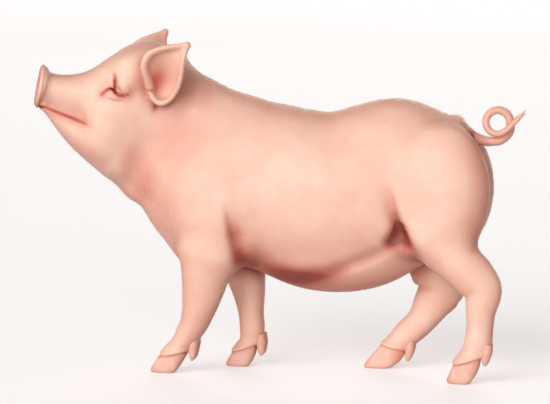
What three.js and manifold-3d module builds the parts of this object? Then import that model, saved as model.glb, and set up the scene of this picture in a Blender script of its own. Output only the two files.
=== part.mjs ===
// A young domestic pig at life size, in mid-stride, with its head raised and turned a little to its left.
//
// Millimetres, +Z up. The head points towards -X, the tail towards +X, and the pig's left side towards -Y.
// The flesh is one smooth field, built from lofts, ellipsoids and limb segments that blend into each other.
// The field is turned into a closed surface region by region, and thin flat cuts part it into the pieces
// that a person would name. Ears, hooves, eyes and tail are surfaces of their own.

import * as THREE from "three";
import { LoftGeometry } from "three/addons/geometries/LoftGeometry.js";
import { mergeVertices } from "three/addons/utils/BufferGeometryUtils.js";
import Module from "manifold-3d";

const wasm = await Module();
wasm.setup();

const { degToRad, clamp, lerp } = THREE.MathUtils;
const vec = (x, y, z) => new THREE.Vector3(x, y, z);

// ---------------------------------------------------------------- driving dimensions

const GAP = 0.4; // left between neighbouring pieces
const TRUNK_STEP = [38, 27, 27]; // spacing of the surface points along X, Y and Z on the trunk
const LEG_STEP = [16, 15, 22]; // on the legs
const HEAD_STEP = [15, 14.5, 15]; // on the head

const EYE_RADIUS = 14;
const EYE_PLACE = vec(165, 62, 23); // in the head's frame, on the right side
const EYE_FORWARD = 15; // degrees that the eye looks forward of sideways
const LID_SLANT = 6; // degrees, the slit's rear end higher
const LID_RADII = [34, 16.5, 26]; // along the slit, outwards, up
const LID_OPENING = [32, 9]; // length and height
const NOSTRIL = { apart: 17, height: 1, radii: [15, 6.5, 10] };
const MOUTH_CORNER = 112; // from the snout disc, along the muzzle
const LIP_GROOVE = { width: 2.4, depth: 6 };

const AXIS_HEIGHT = 420; // height of the trunk's centre line
const SNOUT = vec(-519, 0, 663); // centre of the snout disc, before the head is turned
const HEAD_PITCH = 10.9; // degrees, muzzle above the horizontal
const HEAD_TURN = 18; // degrees, towards the pig's left
const HEAD_ROLL = 7; // degrees, right ear higher than the left
const HEAD_PIVOT = vec(-215, 0, 590); // first neck joint

// ---------------------------------------------------------------- frames

// The head's own frame: u runs back from the snout disc, v to the pig's right, n up through the forehead.
const headFrame = (() => {
  const pitch = new THREE.Matrix4().makeRotationY(degToRad(HEAD_PITCH));
  const place = new THREE.Matrix4().makeTranslation(SNOUT).multiply(pitch);
  const muzzle = vec(1, 0, 0).applyMatrix4(pitch);
  const roll = new THREE.Matrix4().makeRotationAxis(muzzle, degToRad(HEAD_ROLL));
  const turn = new THREE.Matrix4().makeRotationZ(degToRad(HEAD_TURN));
  const there = new THREE.Matrix4().makeTranslation(HEAD_PIVOT);
  const back = there.clone().invert();
  return there.multiply(turn).multiply(roll).multiply(back).multiply(place);
})();
const headInverse = headFrame.clone().invert();

// ---------------------------------------------------------------- flesh: shapes of the field
// Each shape is a function of a point that gives about the distance to its surface, negative inside.

// Distance to an ellipse or ellipsoid from coordinates a, b, c and radii ra, rb, rc.
function ellipsoidDistance(a, b, c, ra, rb, rc) {
  const k0 = Math.hypot(a / ra, b / rb, c / rc);
  const k1 = Math.hypot(a / (ra * ra), b / (rb * rb), c / (rc * rc));
  return k0 < 1e-3 ? -Math.min(ra, rb, rc) : (k0 * (k0 - 1)) / k1;
}

// Value of column `at` of the stations at t, on a smooth curve through them.
function between(stations, t, at) {
  const last = stations.length - 1;
  let i = 0;
  while (i < last - 1 && t > stations[i + 1][0]) i++;
  const [p, q] = [stations[i], stations[i + 1]];
  const before = stations[Math.max(i - 1, 0)];
  const after = stations[Math.min(i + 2, last)];
  const span = q[0] - p[0];
  const slopeP = ((q[at] - before[at]) / (q[0] - before[0])) * span;
  const slopeQ = ((after[at] - p[at]) / (after[0] - p[0])) * span;
  const s = (t - p[0]) / span;
  const s2 = s * s;
  const s3 = s2 * s;
  const along = lerp(p[at], q[at], 3 * s2 - 2 * s3);
  return along + (s3 - 2 * s2 + s) * slopeP + (s3 - s2) * slopeQ;
}

// A loft along a straight axis. Each station is [distance along the axis, half height above it, half height
// below it, half width]. The ends are rounded over the two cap lengths.
function loft({ origin, axis, up, stations, caps, blend }) {
  const a = axis.clone().normalize();
  const n = up.clone().addScaledVector(a, -up.dot(a)).normalize();
  const s = n.clone().cross(a);
  const first = stations[0][0];
  const last = stations[stations.length - 1][0];
  const distance = (x, y, z) => {
    const [dx, dy, dz] = [x - origin.x, y - origin.y, z - origin.z];
    const along = dx * a.x + dy * a.y + dz * a.z;
    const above = dx * n.x + dy * n.y + dz * n.z;
    const aside = dx * s.x + dy * s.y + dz * s.z;
    const t = clamp(along, first, last);
    const height = between(stations, t, above > 0 ? 1 : 2);
    const width = between(stations, t, 3);
    return ellipsoidDistance(aside, above, along - t, width, height, along < first ? caps[0] : caps[1]);
  };
  return { distance, blend };
}

// An ellipsoid with radii along, across and up, turned by `tilt` degrees about Y and then `turn` about Z.
function ellipsoid({ centre, radii, tilt = 0, turn = 0, blend }) {
  const [ct, st] = [Math.cos(degToRad(tilt)), Math.sin(degToRad(tilt))];
  const [cz, sz] = [Math.cos(degToRad(turn)), Math.sin(degToRad(turn))];
  const distance = (x, y, z) => {
    const [dx, dy, dz] = [x - centre.x, y - centre.y, z - centre.z];
    const [ex, ey] = [dx * cz + dy * sz, dy * cz - dx * sz];
    return ellipsoidDistance(ex * ct - dz * st, ey, ex * st + dz * ct, ...radii);
  };
  return { distance, blend };
}

// A limb along a smooth line through joints [x, y, z, fore-and-aft radius, sideways radius].
const LIMB_PARTS = 4; // straight parts between two joints
function limb(joints, blend) {
  const stations = joints.map((joint) => [0, ...joint]);
  for (let i = 1; i < stations.length; i++) {
    const [p, q] = [stations[i - 1], stations[i]];
    q[0] = p[0] + Math.hypot(q[1] - p[1], q[2] - p[2], q[3] - p[3]);
  }
  const line = [];
  for (let i = 1; i < stations.length; i++)
    for (let part = i === 1 ? 0 : 1; part <= LIMB_PARTS; part++) {
      const t = lerp(stations[i - 1][0], stations[i][0], part / LIMB_PARTS);
      line.push([1, 2, 3, 4, 5].map((at) => between(stations, t, at)));
    }
  const distance = (x, y, z) => {
    let nearest = Infinity;
    let [segment, share] = [0, 0];
    for (let i = 0; i < line.length - 1; i++) {
      const [p, q] = [line[i], line[i + 1]];
      const [ex, ey, ez] = [q[0] - p[0], q[1] - p[1], q[2] - p[2]];
      const along = ((x - p[0]) * ex + (y - p[1]) * ey + (z - p[2]) * ez) / (ex * ex + ey * ey + ez * ez);
      const t = clamp(along, 0, 1);
      const away = (x - p[0] - t * ex) ** 2 + (y - p[1] - t * ey) ** 2 + (z - p[2] - t * ez) ** 2;
      if (away < nearest) [nearest, segment, share] = [away, i, t];
    }
    const [p, q] = [line[segment], line[segment + 1]];
    const at = (k) => lerp(p[k], q[k], share);
    const axis = vec(q[0] - p[0], q[1] - p[1], q[2] - p[2]).normalize();
    const fore = vec(axis.z, 0, -axis.x).normalize();
    const aside = fore.clone().cross(axis);
    const off = vec(x - at(0), y - at(1), z - at(2));
    return ellipsoidDistance(off.dot(aside), off.dot(fore), off.dot(axis), at(4), at(3), 0.8 * at(3));
  };
  return { distance, blend };
}

// The lesser of two distances, rounded where they are within `blend` of each other.
function smoothUnion(a, b, blend) {
  if (Math.abs(a - b) >= blend || a === Infinity) return Math.min(a, b);
  const h = 1 - Math.abs(a - b) / blend;
  return Math.min(a, b) - (h * h * blend) / 4;
}

const blended = (pieces) => (x, y, z) =>
  pieces.reduce((sum, piece) => smoothUnion(sum, piece.distance(x, y, z), piece.blend), Infinity);

// The same shape on the pig's left (-1) and right (+1).
const bothSides = (make) => [-1, 1].map(make);

// ---------------------------------------------------------------- flesh: trunk and neck

const trunk = loft({
  origin: vec(0, 0, AXIS_HEIGHT),
  axis: vec(1, 0, 0),
  up: vec(0, 0, 1),
  stations: [
    [-150, 175, 160, 92],
    [-60, 204, 176, 118],
    [30, 199, 192, 130],
    [90, 188, 206, 135],
    [150, 181, 212, 137],
    [215, 197, 206, 134],
    [280, 212, 190, 128],
    [345, 206, 172, 122],
    [425, 174, 140, 100],
  ],
  caps: [60, 66],
  blend: 40,
});

const neck = loft({
  origin: vec(-112, 0, 440),
  axis: vec(-0.742, 0, 0.67),
  up: vec(0.67, 0, 0.742),
  stations: [
    [-70, 190, 196, 112],
    [44, 192, 178, 108],
    [92, 184, 166, 102],
    [130, 175, 172, 97],
    [178, 162, 165, 92],
    [235, 150, 146, 86],
  ],
  caps: [60, 60],
  blend: 45,
});

const shoulders = bothSides((side) =>
  ellipsoid({ centre: vec(-108, side * 76, 385), radii: [86, 56, 150], tilt: -12, blend: 50 }),
);

const lowerBelly = ellipsoid({ centre: vec(164, 0, 290), radii: [196, 94, 103], blend: 24 });

const hams = bothSides((side) =>
  ellipsoid({ centre: vec(418, side * 70, 425), radii: [103, 64, 150], tilt: 2, blend: 45 }),
);

// ---------------------------------------------------------------- flesh: legs
// Joints from the top down: [x, y, z, fore-and-aft radius, sideways radius].

const LEGS = {
  foreleg_left: [
    [-118, -82, 275, 66, 44],
    [-133, -73, 193, 49, 36],
    [-152, -62, 125, 35, 30],
    [-174, -55, 86, 29, 25],
    [-192, -51, 62, 24, 24],
    [-207, -48, 44, 27, 28],
    [-213, -47, 36, 27, 28],
  ],
  foreleg_right: [
    [-72, 82, 275, 62, 44],
    [-52, 77, 179, 41, 34],
    [-45, 72, 125, 31, 28],
    [-42, 69, 80, 30, 25],
    [-49, 68, 54, 25, 24],
    [-59, 68, 38, 27, 28],
    [-65, 68, 29, 27, 28],
  ],
  hindleg_left: [
    [408, -84, 335, 78, 52],
    [449, -92, 277, 55, 40],
    [487, -94, 239, 50, 33],
    [507, -94, 209, 44, 28],
    [503, -93, 162, 34, 26],
    [501, -92, 125, 31, 24],
    [497, -92, 90, 32, 26],
    [486, -92, 66, 28, 26],
    [473, -92, 49, 28, 29],
    [467, -92, 41, 28, 29],
  ],
  hindleg_right: [
    [372, 84, 300, 76, 50],
    [386, 90, 242, 64, 40],
    [398, 92, 190, 57, 33],
    [378, 92, 152, 45, 28],
    [352, 92, 111, 35, 25],
    [322, 92, 82, 33, 25],
    [302, 92, 61, 30, 26],
    [289, 92, 48, 29, 29],
    [281, 92, 40, 29, 29],
  ],
};
const legs = Object.values(LEGS).map((joints) => limb(joints, 30));

// ---------------------------------------------------------------- flesh: head, in the head's own frame

const skull = loft({
  origin: vec(0, 0, 0),
  axis: vec(1, 0, 0),
  up: vec(0, 0, 1),
  stations: [
    [10, 33, 43, 34],
    [40, 32, 50, 36],
    [80, 42, 60, 44],
    [110, 60, 70, 55],
    [145, 94, 84, 68],
    [185, 130, 96, 78],
    [235, 148, 105, 84],
    [290, 134, 100, 80],
  ],
  caps: [4, 45],
  blend: 0,
});

const jaw = loft({
  origin: vec(20, 0, -48),
  axis: vec(180, 0, -77),
  up: vec(77, 0, 180),
  stations: [
    [0, 12, 10, 23],
    [45, 30, 28, 36],
    [92, 46, 43, 50],
    [145, 52, 53, 63],
    [195, 60, 58, 68],
  ],
  caps: [6, 50],
  blend: 26,
});

const cheeks = bothSides((side) =>
  ellipsoid({ centre: vec(178, side * 50, -58), radii: [62, 34, 68], tilt: 20, blend: 30 }),
);

const brows = bothSides((side) =>
  ellipsoid({ centre: vec(186, side * 46, 62), radii: [36, 26, 30], tilt: -30, blend: 24 }),
);

const temples = bothSides((side) =>
  ellipsoid({ centre: vec(226, side * 46, 88), radii: [64, 38, 42], tilt: -12, blend: 30 }),
);

const headFlesh = blended([skull, jaw, ...cheeks, ...brows, ...temples]);
const bodyFlesh = blended([trunk, lowerBelly, ...shoulders, ...hams, neck, ...legs]);
const HEAD_BLEND = 34; // between the head and the neck

const h = headInverse.elements;
function flesh(x, y, z) {
  const u = h[0] * x + h[4] * y + h[8] * z + h[12];
  const v = h[1] * x + h[5] * y + h[9] * z + h[13];
  const n = h[2] * x + h[6] * y + h[10] * z + h[14];
  return smoothUnion(bodyFlesh(x, y, z), headFlesh(u, v, n), HEAD_BLEND);
}

// ---------------------------------------------------------------- from the field to a closed surface

const AXES = [
  [1, 0, 0],
  [0, 1, 0],
  [0, 0, 1],
];
const RING = [
  [0, 0],
  [-1, 0],
  [-1, -1],
  [0, -1],
];

// Surface points sit in the grid cells that the surface crosses. Each grid edge that it crosses makes a face.
function surfaceOf(field, low, high, step) {
  const size = [0, 1, 2].map((k) => Math.ceil((high[k] - low[k]) / step[k]) + 1);
  const finest = Math.min(...step);
  const index = (i, j, k) => (i * size[1] + j) * size[2] + k;
  const value = new Float32Array(size[0] * size[1] * size[2]);
  const rim = (i, k) => i === 0 || i === size[k] - 1;
  for (let i = 0; i < size[0]; i++)
    for (let j = 0; j < size[1]; j++)
      for (let k = 0; k < size[2]; k++) {
        const f = field(low[0] + i * step[0], low[1] + j * step[1], low[2] + k * step[2]);
        value[index(i, j, k)] = rim(i, 0) || rim(j, 1) || rim(k, 2) ? Math.max(f, finest) : f;
      }

  while (unpinch(value, size, index));

  const corners = [0, 1, 2, 3, 4, 5, 6, 7].map((c) => [c & 1, (c >> 1) & 1, (c >> 2) & 1]);
  const edges = corners.flatMap((c, from) =>
    [1, 2, 4].filter((bit) => !(from & bit)).map((bit) => [from, from | bit]),
  );
  const cellPoint = new Map();
  const points = [];
  for (let i = 0; i < size[0] - 1; i++)
    for (let j = 0; j < size[1] - 1; j++)
      for (let k = 0; k < size[2] - 1; k++) {
        const f = corners.map((c) => value[index(i + c[0], j + c[1], k + c[2])]);
        const inside = f.filter((v) => v < 0).length;
        if (inside === 0 || inside === 8) continue;
        const sum = [0, 0, 0];
        let count = 0;
        for (const [p, q] of edges) {
          if (f[p] < 0 === f[q] < 0) continue;
          const t = f[p] / (f[p] - f[q]);
          for (const m of [0, 1, 2]) sum[m] += lerp(corners[p][m], corners[q][m], t);
          count++;
        }
        const at = [i, j, k].map((cell, m) => low[m] + (cell + sum[m] / count) * step[m]);
        cellPoint.set(index(i, j, k), points.length);
        points.push(settle(field, at, finest));
      }

  const faces = [];
  const face = (i, j, k, axis) => {
    const [s, t] = [AXES[(axis + 1) % 3], AXES[(axis + 2) % 3]];
    const next = AXES[axis];
    const here = value[index(i, j, k)] < 0;
    if (here === value[index(i + next[0], j + next[1], k + next[2])] < 0) return;
    const ring = RING.map(([a, b]) =>
      cellPoint.get(index(i + a * s[0] + b * t[0], j + a * s[1] + b * t[1], k + a * s[2] + b * t[2])),
    );
    faces.push(...splitQuad(points, here ? ring : ring.reverse()));
  };
  for (let i = 0; i < size[0] - 1; i++)
    for (let j = 0; j < size[1] - 1; j++)
      for (let k = 0; k < size[2] - 1; k++) {
        if (j > 0 && k > 0) face(i, j, k, 0);
        if (i > 0 && k > 0) face(i, j, k, 1);
        if (i > 0 && j > 0) face(i, j, k, 2);
      }
  return closed(points.flat(), faces);
}

// Where the corners of a grid face lie inside and outside by turns, the surface would touch itself there, so
// the corner nearest to the surface changes sides. Returns how many did.
function unpinch(value, size, index) {
  let changed = 0;
  for (let i = 0; i < size[0] - 1; i++)
    for (let j = 0; j < size[1] - 1; j++)
      for (let k = 0; k < size[2] - 1; k++)
        for (const [s, t] of [[AXES[0], AXES[1]], [AXES[1], AXES[2]], [AXES[2], AXES[0]]]) {
          const ring = [
            index(i, j, k),
            index(i + s[0], j + s[1], k + s[2]),
            index(i + s[0] + t[0], j + s[1] + t[1], k + s[2] + t[2]),
            index(i + t[0], j + t[1], k + t[2]),
          ];
          const inside = ring.map((corner) => value[corner] < 0);
          if (inside[0] !== inside[2] || inside[1] !== inside[3] || inside[0] === inside[1]) continue;
          const nearest = ring.reduce((a, b) => (Math.abs(value[a]) < Math.abs(value[b]) ? a : b));
          value[nearest] *= -1;
          changed++;
        }
  return changed;
}

// Moves a point onto the field's zero surface, unless it closes the region's rim.
function settle(field, start, step) {
  const p = [...start];
  for (let round = 0; round < 3; round++) {
    const f = field(...p);
    if (Math.abs(f) > step) return start;
    const e = 0.5;
    const g = [0, 1, 2].map((m) => {
      const [a, b] = [[...p], [...p]];
      a[m] += e;
      b[m] -= e;
      return (field(...a) - field(...b)) / (2 * e);
    });
    const length2 = g[0] ** 2 + g[1] ** 2 + g[2] ** 2;
    for (const m of [0, 1, 2]) p[m] -= (clamp(f, -step / 2, step / 2) * g[m]) / Math.max(length2, 0.2);
  }
  return p;
}

// Two triangles across the quad's shorter diagonal.
function splitQuad(points, [a, b, c, d]) {
  const span = (p, q) => Math.hypot(...[0, 1, 2].map((m) => points[p][m] - points[q][m]));
  return span(a, c) < span(b, d) ? [a, b, c, a, c, d] : [b, c, d, b, d, a];
}

// ---------------------------------------------------------------- solids: joining and cutting

const closed = (positions, triangles) =>
  new wasm.Manifold(
    new wasm.Mesh({
      numProp: 3,
      vertProperties: new Float32Array(positions),
      triVerts: new Uint32Array(triangles),
    }),
  );

// A three.js geometry as a solid, in place.
function solid(geometry, matrix) {
  const bare = geometry.index ? geometry.toNonIndexed() : geometry.clone();
  const positions = new THREE.BufferGeometry().setAttribute("position", bare.getAttribute("position"));
  if (matrix) positions.applyMatrix4(matrix);
  const merged = mergeVertices(positions, 1e-3);
  return closed(merged.attributes.position.array, merged.index.array);
}

// The half space beyond a plane, as a large box.
const FAR = 3000;
function beyond(point, normal) {
  const turn = new THREE.Quaternion().setFromUnitVectors(vec(0, 0, 1), normal.clone().normalize());
  const place = new THREE.Matrix4().compose(point, turn, vec(1, 1, 1));
  return solid(new THREE.BoxGeometry(2 * FAR, 2 * FAR, FAR).translate(0, 0, FAR / 2), place);
}

// Parts a solid at a plane and leaves the gap: [the part beyond the plane, the part before it].
function part(whole, point, normal) {
  const n = normal.clone().normalize();
  const beyondPlane = beyond(point.clone().addScaledVector(n, GAP / 2), n);
  const beforePlane = beyond(point.clone().addScaledVector(n, -GAP / 2), n.clone().negate());
  return [whole.intersect(beyondPlane), whole.intersect(beforePlane)];
}

// The largest closed surface of a solid.
function largest(whole) {
  return whole.decompose().sort((a, b) => b.volume() - a.volume())[0];
}

const pig = new THREE.Group();

function addNode(name, whole, material) {
  const mesh = largest(whole).getMesh();
  const geometry = new THREE.BufferGeometry();
  geometry.setAttribute("position", new THREE.BufferAttribute(new Float32Array(mesh.vertProperties), 3));
  geometry.setIndex(new THREE.BufferAttribute(new Uint32Array(mesh.triVerts), 1));
  geometry.computeVertexNormals();
  const node = new THREE.Mesh(geometry, new THREE.MeshStandardMaterial(material));
  node.name = name;
  pig.add(node);
}

const skin = { color: 0xf0bda4, roughness: 0.55, metalness: 0 };
const horn = { color: 0xdba08a, roughness: 0.45, metalness: 0 };
const eyeball = { color: 0x3a2a24, roughness: 0.1, metalness: 0 };

// ---------------------------------------------------------------- hooves
// Each foot stands on two main claws. Two dewclaws hang behind. Places along the foot are [x, z].

const FEET = {
  fore_left: {
    y: -47,
    toe: -264,
    sole: -203,
    heel: [-187, 23],
    front: [-240, 38],
    rear: [-174, 46],
    dewclaw: [[-154, 94], [-161, 29]],
    leg: "foreleg_left",
  },
  fore_right: {
    y: 68,
    toe: -107,
    sole: -50,
    heel: [-36, 25],
    front: [-88, 33],
    rear: [-32, 50],
    dewclaw: [[-18, 78], [-18, 26]],
    leg: "foreleg_right",
  },
  hind_left: {
    y: -92,
    toe: 424,
    sole: 478,
    heel: [498, 28],
    front: [443, 42],
    rear: [503, 57],
    dewclaw: [[522, 90], [513, 42]],
    leg: "hindleg_left",
  },
  hind_right: {
    y: 92,
    toe: 213,
    sole: 280,
    heel: [307, 20],
    front: [262, 56],
    rear: [316, 40],
    dewclaw: [[332, 65], [323, 18]],
    leg: "hindleg_right",
  },
};
const CLAW = { apart: 14.5, halfWidth: 13, taper: 4, points: 16, blunt: 8, bluntUpTo: 0.3 };
const SIDES = { outer: 1, inner: -1 };

const middleOf = (ring) => ring.reduce((sum, p) => sum.add(p), vec(0, 0, 0)).divideScalar(ring.length);

// A stack of rings as one closed solid, whichever way round they were drawn.
function stack(rings) {
  const middle = middleOf(rings[0]);
  const forward = middleOf(rings[1]).sub(middle);
  const facing = vec(0, 0, 0);
  rings[0].forEach((p, i, ring) => {
    const next = ring[(i + 1) % ring.length];
    facing.add(p.clone().sub(middle).cross(next.clone().sub(middle)));
  });
  const ordered = facing.dot(forward) > 0 ? rings : rings.map((ring) => [...ring].reverse());
  return solid(new LoftGeometry(ordered, { closed: true, capStart: true, capEnd: true }));
}

// One main claw, from its flat sole up to the line where the skin begins.
function mainClaw(foot, side) {
  const levels = [0, 0.08, 0.4, 0.7, 1];
  const rings = levels.map((level) => {
    const inset = level === 0 ? 2 : 0;
    const blunt = CLAW.blunt * Math.max(0, 1 - level / CLAW.bluntUpTo) ** 2;
    const frontX = lerp(foot.toe, foot.front[0], level) + inset + blunt;
    const frontZ = foot.front[1] * level;
    const bulb = 2 * foot.heel[0] - (foot.sole + foot.rear[0]) / 2;
    const rearX = lerp(lerp(foot.sole, bulb, level), lerp(bulb, foot.rear[0], level), level) - inset;
    const rearZ = foot.rear[1] * level;
    const ring = [];
    for (let i = 0; i < CLAW.points; i++) {
      const angle = (i / CLAW.points) * 2 * Math.PI;
      const along = 0.5 - 0.5 * Math.cos(angle);
      const across = Math.sign(Math.sin(angle)) * Math.abs(Math.sin(angle)) ** 0.75 * (0.72 + 0.28 * along);
      const width = (CLAW.halfWidth - inset * 0.7) * (0.94 + 0.06 * level);
      const middle = CLAW.apart - CLAW.taper * (1 - along) * (1 - 0.5 * level);
      const y = foot.y + side * Math.max(middle + across * width, 1.2);
      ring.push(vec(lerp(frontX, rearX, along), y, lerp(frontZ, rearZ, along)));
    }
    return ring;
  });
  return stack(rings);
}

// A dewclaw, a blunt bent cone that hangs from the back of the foot.
function dewclaw(foot, side, grow) {
  const [[rootX, rootZ], [tipX, tipZ]] = foot.dewclaw;
  const axis = vec(tipX - rootX, 0, tipZ - rootZ).normalize();
  const fore = vec(axis.z, 0, -axis.x);
  const length = Math.hypot(tipX - rootX, tipZ - rootZ);
  const rings = [
    [-grow, 8.5],
    [0.4 * length, 11.5],
    [0.75 * length, 9],
    [length + grow, 3.5],
  ].map(([at, radius]) => {
    const centre = vec(rootX, foot.y + side * 15, rootZ).addScaledVector(axis, at);
    return Array.from({ length: 8 }, (_, i) => {
      const angle = (i / 8) * 2 * Math.PI;
      const r = radius + grow;
      const aside = vec(0, Math.sin(angle) * r * 0.85, 0);
      return centre.clone().addScaledVector(fore, Math.cos(angle) * r).add(aside);
    });
  });
  return stack(rings);
}

// ---------------------------------------------------------------- legs, as far down as the hooves

const legSolids = {};
for (const [name, foot] of Object.entries(FEET)) {
  const hind = name.startsWith("hind");
  const near = foot.y < 0;
  const xs = LEGS[foot.leg].map((joint) => joint[0]);
  const low = [Math.min(hind ? 270 : Infinity, Math.min(...xs) - 90), near ? -165 : 3, 12];
  const high = [hind ? 570 : Math.max(...xs) + 80, near ? -3 : 165, hind ? 420 : 262];
  let leg = surfaceOf(flesh, low, high, LEG_STEP);
  const coronet = vec(foot.front[0], 0, foot.front[1]);
  const slope = vec(foot.rear[0] - foot.front[0], 0, foot.rear[1] - foot.front[1]);
  const down = vec(slope.z, 0, -slope.x);
  leg = leg.subtract(beyond(coronet.clone().addScaledVector(down.normalize(), -GAP), down));
  for (const [place, side] of Object.entries(SIDES)) {
    const across = side * Math.sign(foot.y);
    addNode(`hoof_${name}_${place}`, mainClaw(foot, across), horn);
    addNode(`dewclaw_${name}_${place}`, dewclaw(foot, across, 0), horn);
    leg = leg.subtract(dewclaw(foot, across, GAP));
  }
  legSolids[name] = leg;
}

// ---------------------------------------------------------------- trunk, cut into its parts

const NECK_CUT = [vec(-130, 0, 440), vec(-0.926, 0, 0.377)];
const HEAD_CUT = [vec(-240, -10, 562), vec(-0.846, -0.134, 0.515)];
const CHEST_CUT = [vec(20, 0, 0), vec(1, 0, 0)];
const RUMP_CUT = [vec(286, 0, 0), vec(1, 0, 0)];
const FORELEG_CUT = [vec(0, 0, 218), vec(0, 0, -1)];
const SHANK_CUT = {
  hind_left: [vec(470, 0, 236), vec(0.3, 0, -0.954)],
  hind_right: [vec(392, 0, 214), vec(0.581, 0, -0.814)],
};
const FLANK_CUT = {
  hind_left: [vec(318, 0, 330), vec(0.95, 0, 0.31)],
  hind_right: [vec(290, 0, 300), vec(0.95, 0, 0.31)],
};
const groinCut = (side) => [vec(0, side * 10, 218), vec(0, side * 0.76, -0.65)];

const trunkSolid = surfaceOf(flesh, [-440, -190, 160], [590, 190, 770], TRUNK_STEP);
const [neckAndHead, behindNeck] = part(trunkSolid, ...NECK_CUT);
addNode("neck", part(neckAndHead, ...HEAD_CUT)[1], skin);
const [behindChest, chest] = part(behindNeck, ...CHEST_CUT);
addNode("chest", part(chest, ...FORELEG_CUT)[1], skin);
const [hindquarters, barrel] = part(behindChest, ...RUMP_CUT);
addNode("barrel", barrel, skin);

let rump = hindquarters;
for (const name of ["hind_left", "hind_right"]) {
  const groin = groinCut(Math.sign(FEET[name].y));
  const behindFlank = part(part(legSolids[name], ...RUMP_CUT)[0], ...FLANK_CUT[name])[0];
  const outerPart = part(behindFlank, ...groin)[0];
  addNode(`thigh_${name}`, part(outerPart, ...SHANK_CUT[name])[1], skin);
  addNode(`shank_${name}`, part(legSolids[name], ...SHANK_CUT[name])[0], skin);
  const widened = (point, normal) => beyond(point.clone().addScaledVector(normal, -GAP), normal);
  rump = rump.subtract(widened(...groin).intersect(widened(...FLANK_CUT[name])));
}
for (const name of ["fore_left", "fore_right"])
  addNode(`foreleg_${name.slice(5)}`, part(legSolids[name], ...FORELEG_CUT)[0], skin);

// ---------------------------------------------------------------- head

const SNOUT_CUT = 14; // along the muzzle
const turnY = (degrees) => new THREE.Matrix4().makeRotationY(degToRad(degrees));
const turnZ = (degrees) => new THREE.Matrix4().makeRotationZ(degToRad(degrees));
const place = (x, y, z) => headFrame.clone().multiply(new THREE.Matrix4().makeTranslation(x, y, z));
const ball = ([x, y, z], segments) => new THREE.SphereGeometry(1, segments, segments * 0.7).scale(x, y, z);
const backwards = vec(1, 0, 0).transformDirection(headFrame);
const cutAt = (u) => [vec(u, 0, 0).applyMatrix4(headFrame), backwards];

// The field's surface inside a box of the head's frame, with the box's corners given as [u, v, n].
function headSurface(field, low, high, step) {
  const corners = [0, 1, 2, 3, 4, 5, 6, 7].map((c) =>
    vec(c & 1 ? high[0] : low[0], c & 2 ? high[1] : low[1], c & 4 ? high[2] : low[2]).applyMatrix4(headFrame),
  );
  const box = new THREE.Box3().setFromPoints(corners);
  return surfaceOf(field, box.min.toArray(), box.max.toArray(), step);
}

// The disc is a stack of oval rings [along the muzzle, share of the full size], rounded at its rim.
const DISC = { up: 46, down: 47, side: 39, points: 22 };
const DISC_RINGS = [
  [SNOUT_CUT - GAP, 0.92],
  [10, 0.99],
  [3, 1],
  [-3, 0.96],
  [-6.5, 0.86],
  [-7.5, 0.7],
];
let snoutDisc = stack(
  DISC_RINGS.map(([u, share]) =>
    Array.from({ length: DISC.points }, (_, i) => {
      const angle = (i / DISC.points) * 2 * Math.PI;
      const height = Math.sin(angle) > 0 ? DISC.up : DISC.down;
      const rim = vec(u, Math.cos(angle) * DISC.side * share, Math.sin(angle) * height * share);
      return rim.applyMatrix4(headFrame);
    }),
  ),
);
for (const side of [-1, 1]) {
  const hollow = solid(ball(NOSTRIL.radii, 12), place(-6, side * NOSTRIL.apart, NOSTRIL.height));
  snoutDisc = snoutDisc.subtract(hollow);
}
addNode("snout_disc", snoutDisc, skin);

const wholeHead = surfaceOf(flesh, [-590, -245, 370], [-100, 150, 830], HEAD_STEP);
let head = part(part(wholeHead, ...HEAD_CUT)[0], ...cutAt(SNOUT_CUT))[0];

// The mouth is a plane that falls a little towards its corner, with a groove between the lips.
const MOUTH = { height: -43, fall: 9.2 };
const mouthBox = (from, to, thickness, above) => {
  const shape = new THREE.BoxGeometry(to - from, 400, thickness).translate((from + to) / 2, 0, above);
  return solid(shape, place(0, 0, MOUTH.height).multiply(turnY(MOUTH.fall)));
};
const sunk = (x, y, z) => flesh(x, y, z) + LIP_GROOVE.depth;
const core = headSurface(sunk, [0, -90, -130], [150, 90, 20], HEAD_STEP);
head = head.subtract(mouthBox(0, MOUTH_CORNER, LIP_GROOVE.width, 0).subtract(core));
const lowerJaw = head.intersect(mouthBox(-60, MOUTH_CORNER - GAP / 2, 300, -150 - GAP / 2));
head = head.subtract(mouthBox(-60, MOUTH_CORNER + GAP / 2, 300, -150 + GAP / 2));
addNode("lower_jaw", lowerJaw, skin);

// Each eye is a ball in a socket, behind an almond opening in a domed lid.
for (const [name, side] of [["left", -1], ["right", 1]]) {
  const socket = place(EYE_PLACE.x, side * EYE_PLACE.y, EYE_PLACE.z)
    .multiply(turnZ(side * EYE_FORWARD))
    .multiply(turnY(-LID_SLANT));
  const eye = (radii, segments) => solid(ball(radii, segments), socket);
  const [length, height] = LID_OPENING;
  const almond = new THREE.Shape();
  almond.moveTo(-length / 2, 0);
  almond.quadraticCurveTo(0, height, length / 2, 0);
  almond.quadraticCurveTo(0, -height, -length / 2, 0);
  const opening = new THREE.ExtrudeGeometry(almond, { depth: 40, bevelEnabled: false, curveSegments: 8 });
  opening.rotateX(Math.PI / 2).translate(0, side > 0 ? 40 : 0, 0);
  head = head
    .add(eye(LID_RADII, 16))
    .subtract(eye([EYE_RADIUS + GAP, EYE_RADIUS + GAP, EYE_RADIUS + GAP], 14))
    .subtract(solid(opening, socket));
  addNode(`eye_${name}`, eye([EYE_RADIUS, EYE_RADIUS, EYE_RADIUS], 14), eyeball);
}

// ---------------------------------------------------------------- ears
// Each row of an ear is an arc, a cup in section: its middle [u, v, n] in the head's frame, half its width,
// the angle it wraps round, the way it opens (0 to the side, 90 to the front) and its slant down backwards.

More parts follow.
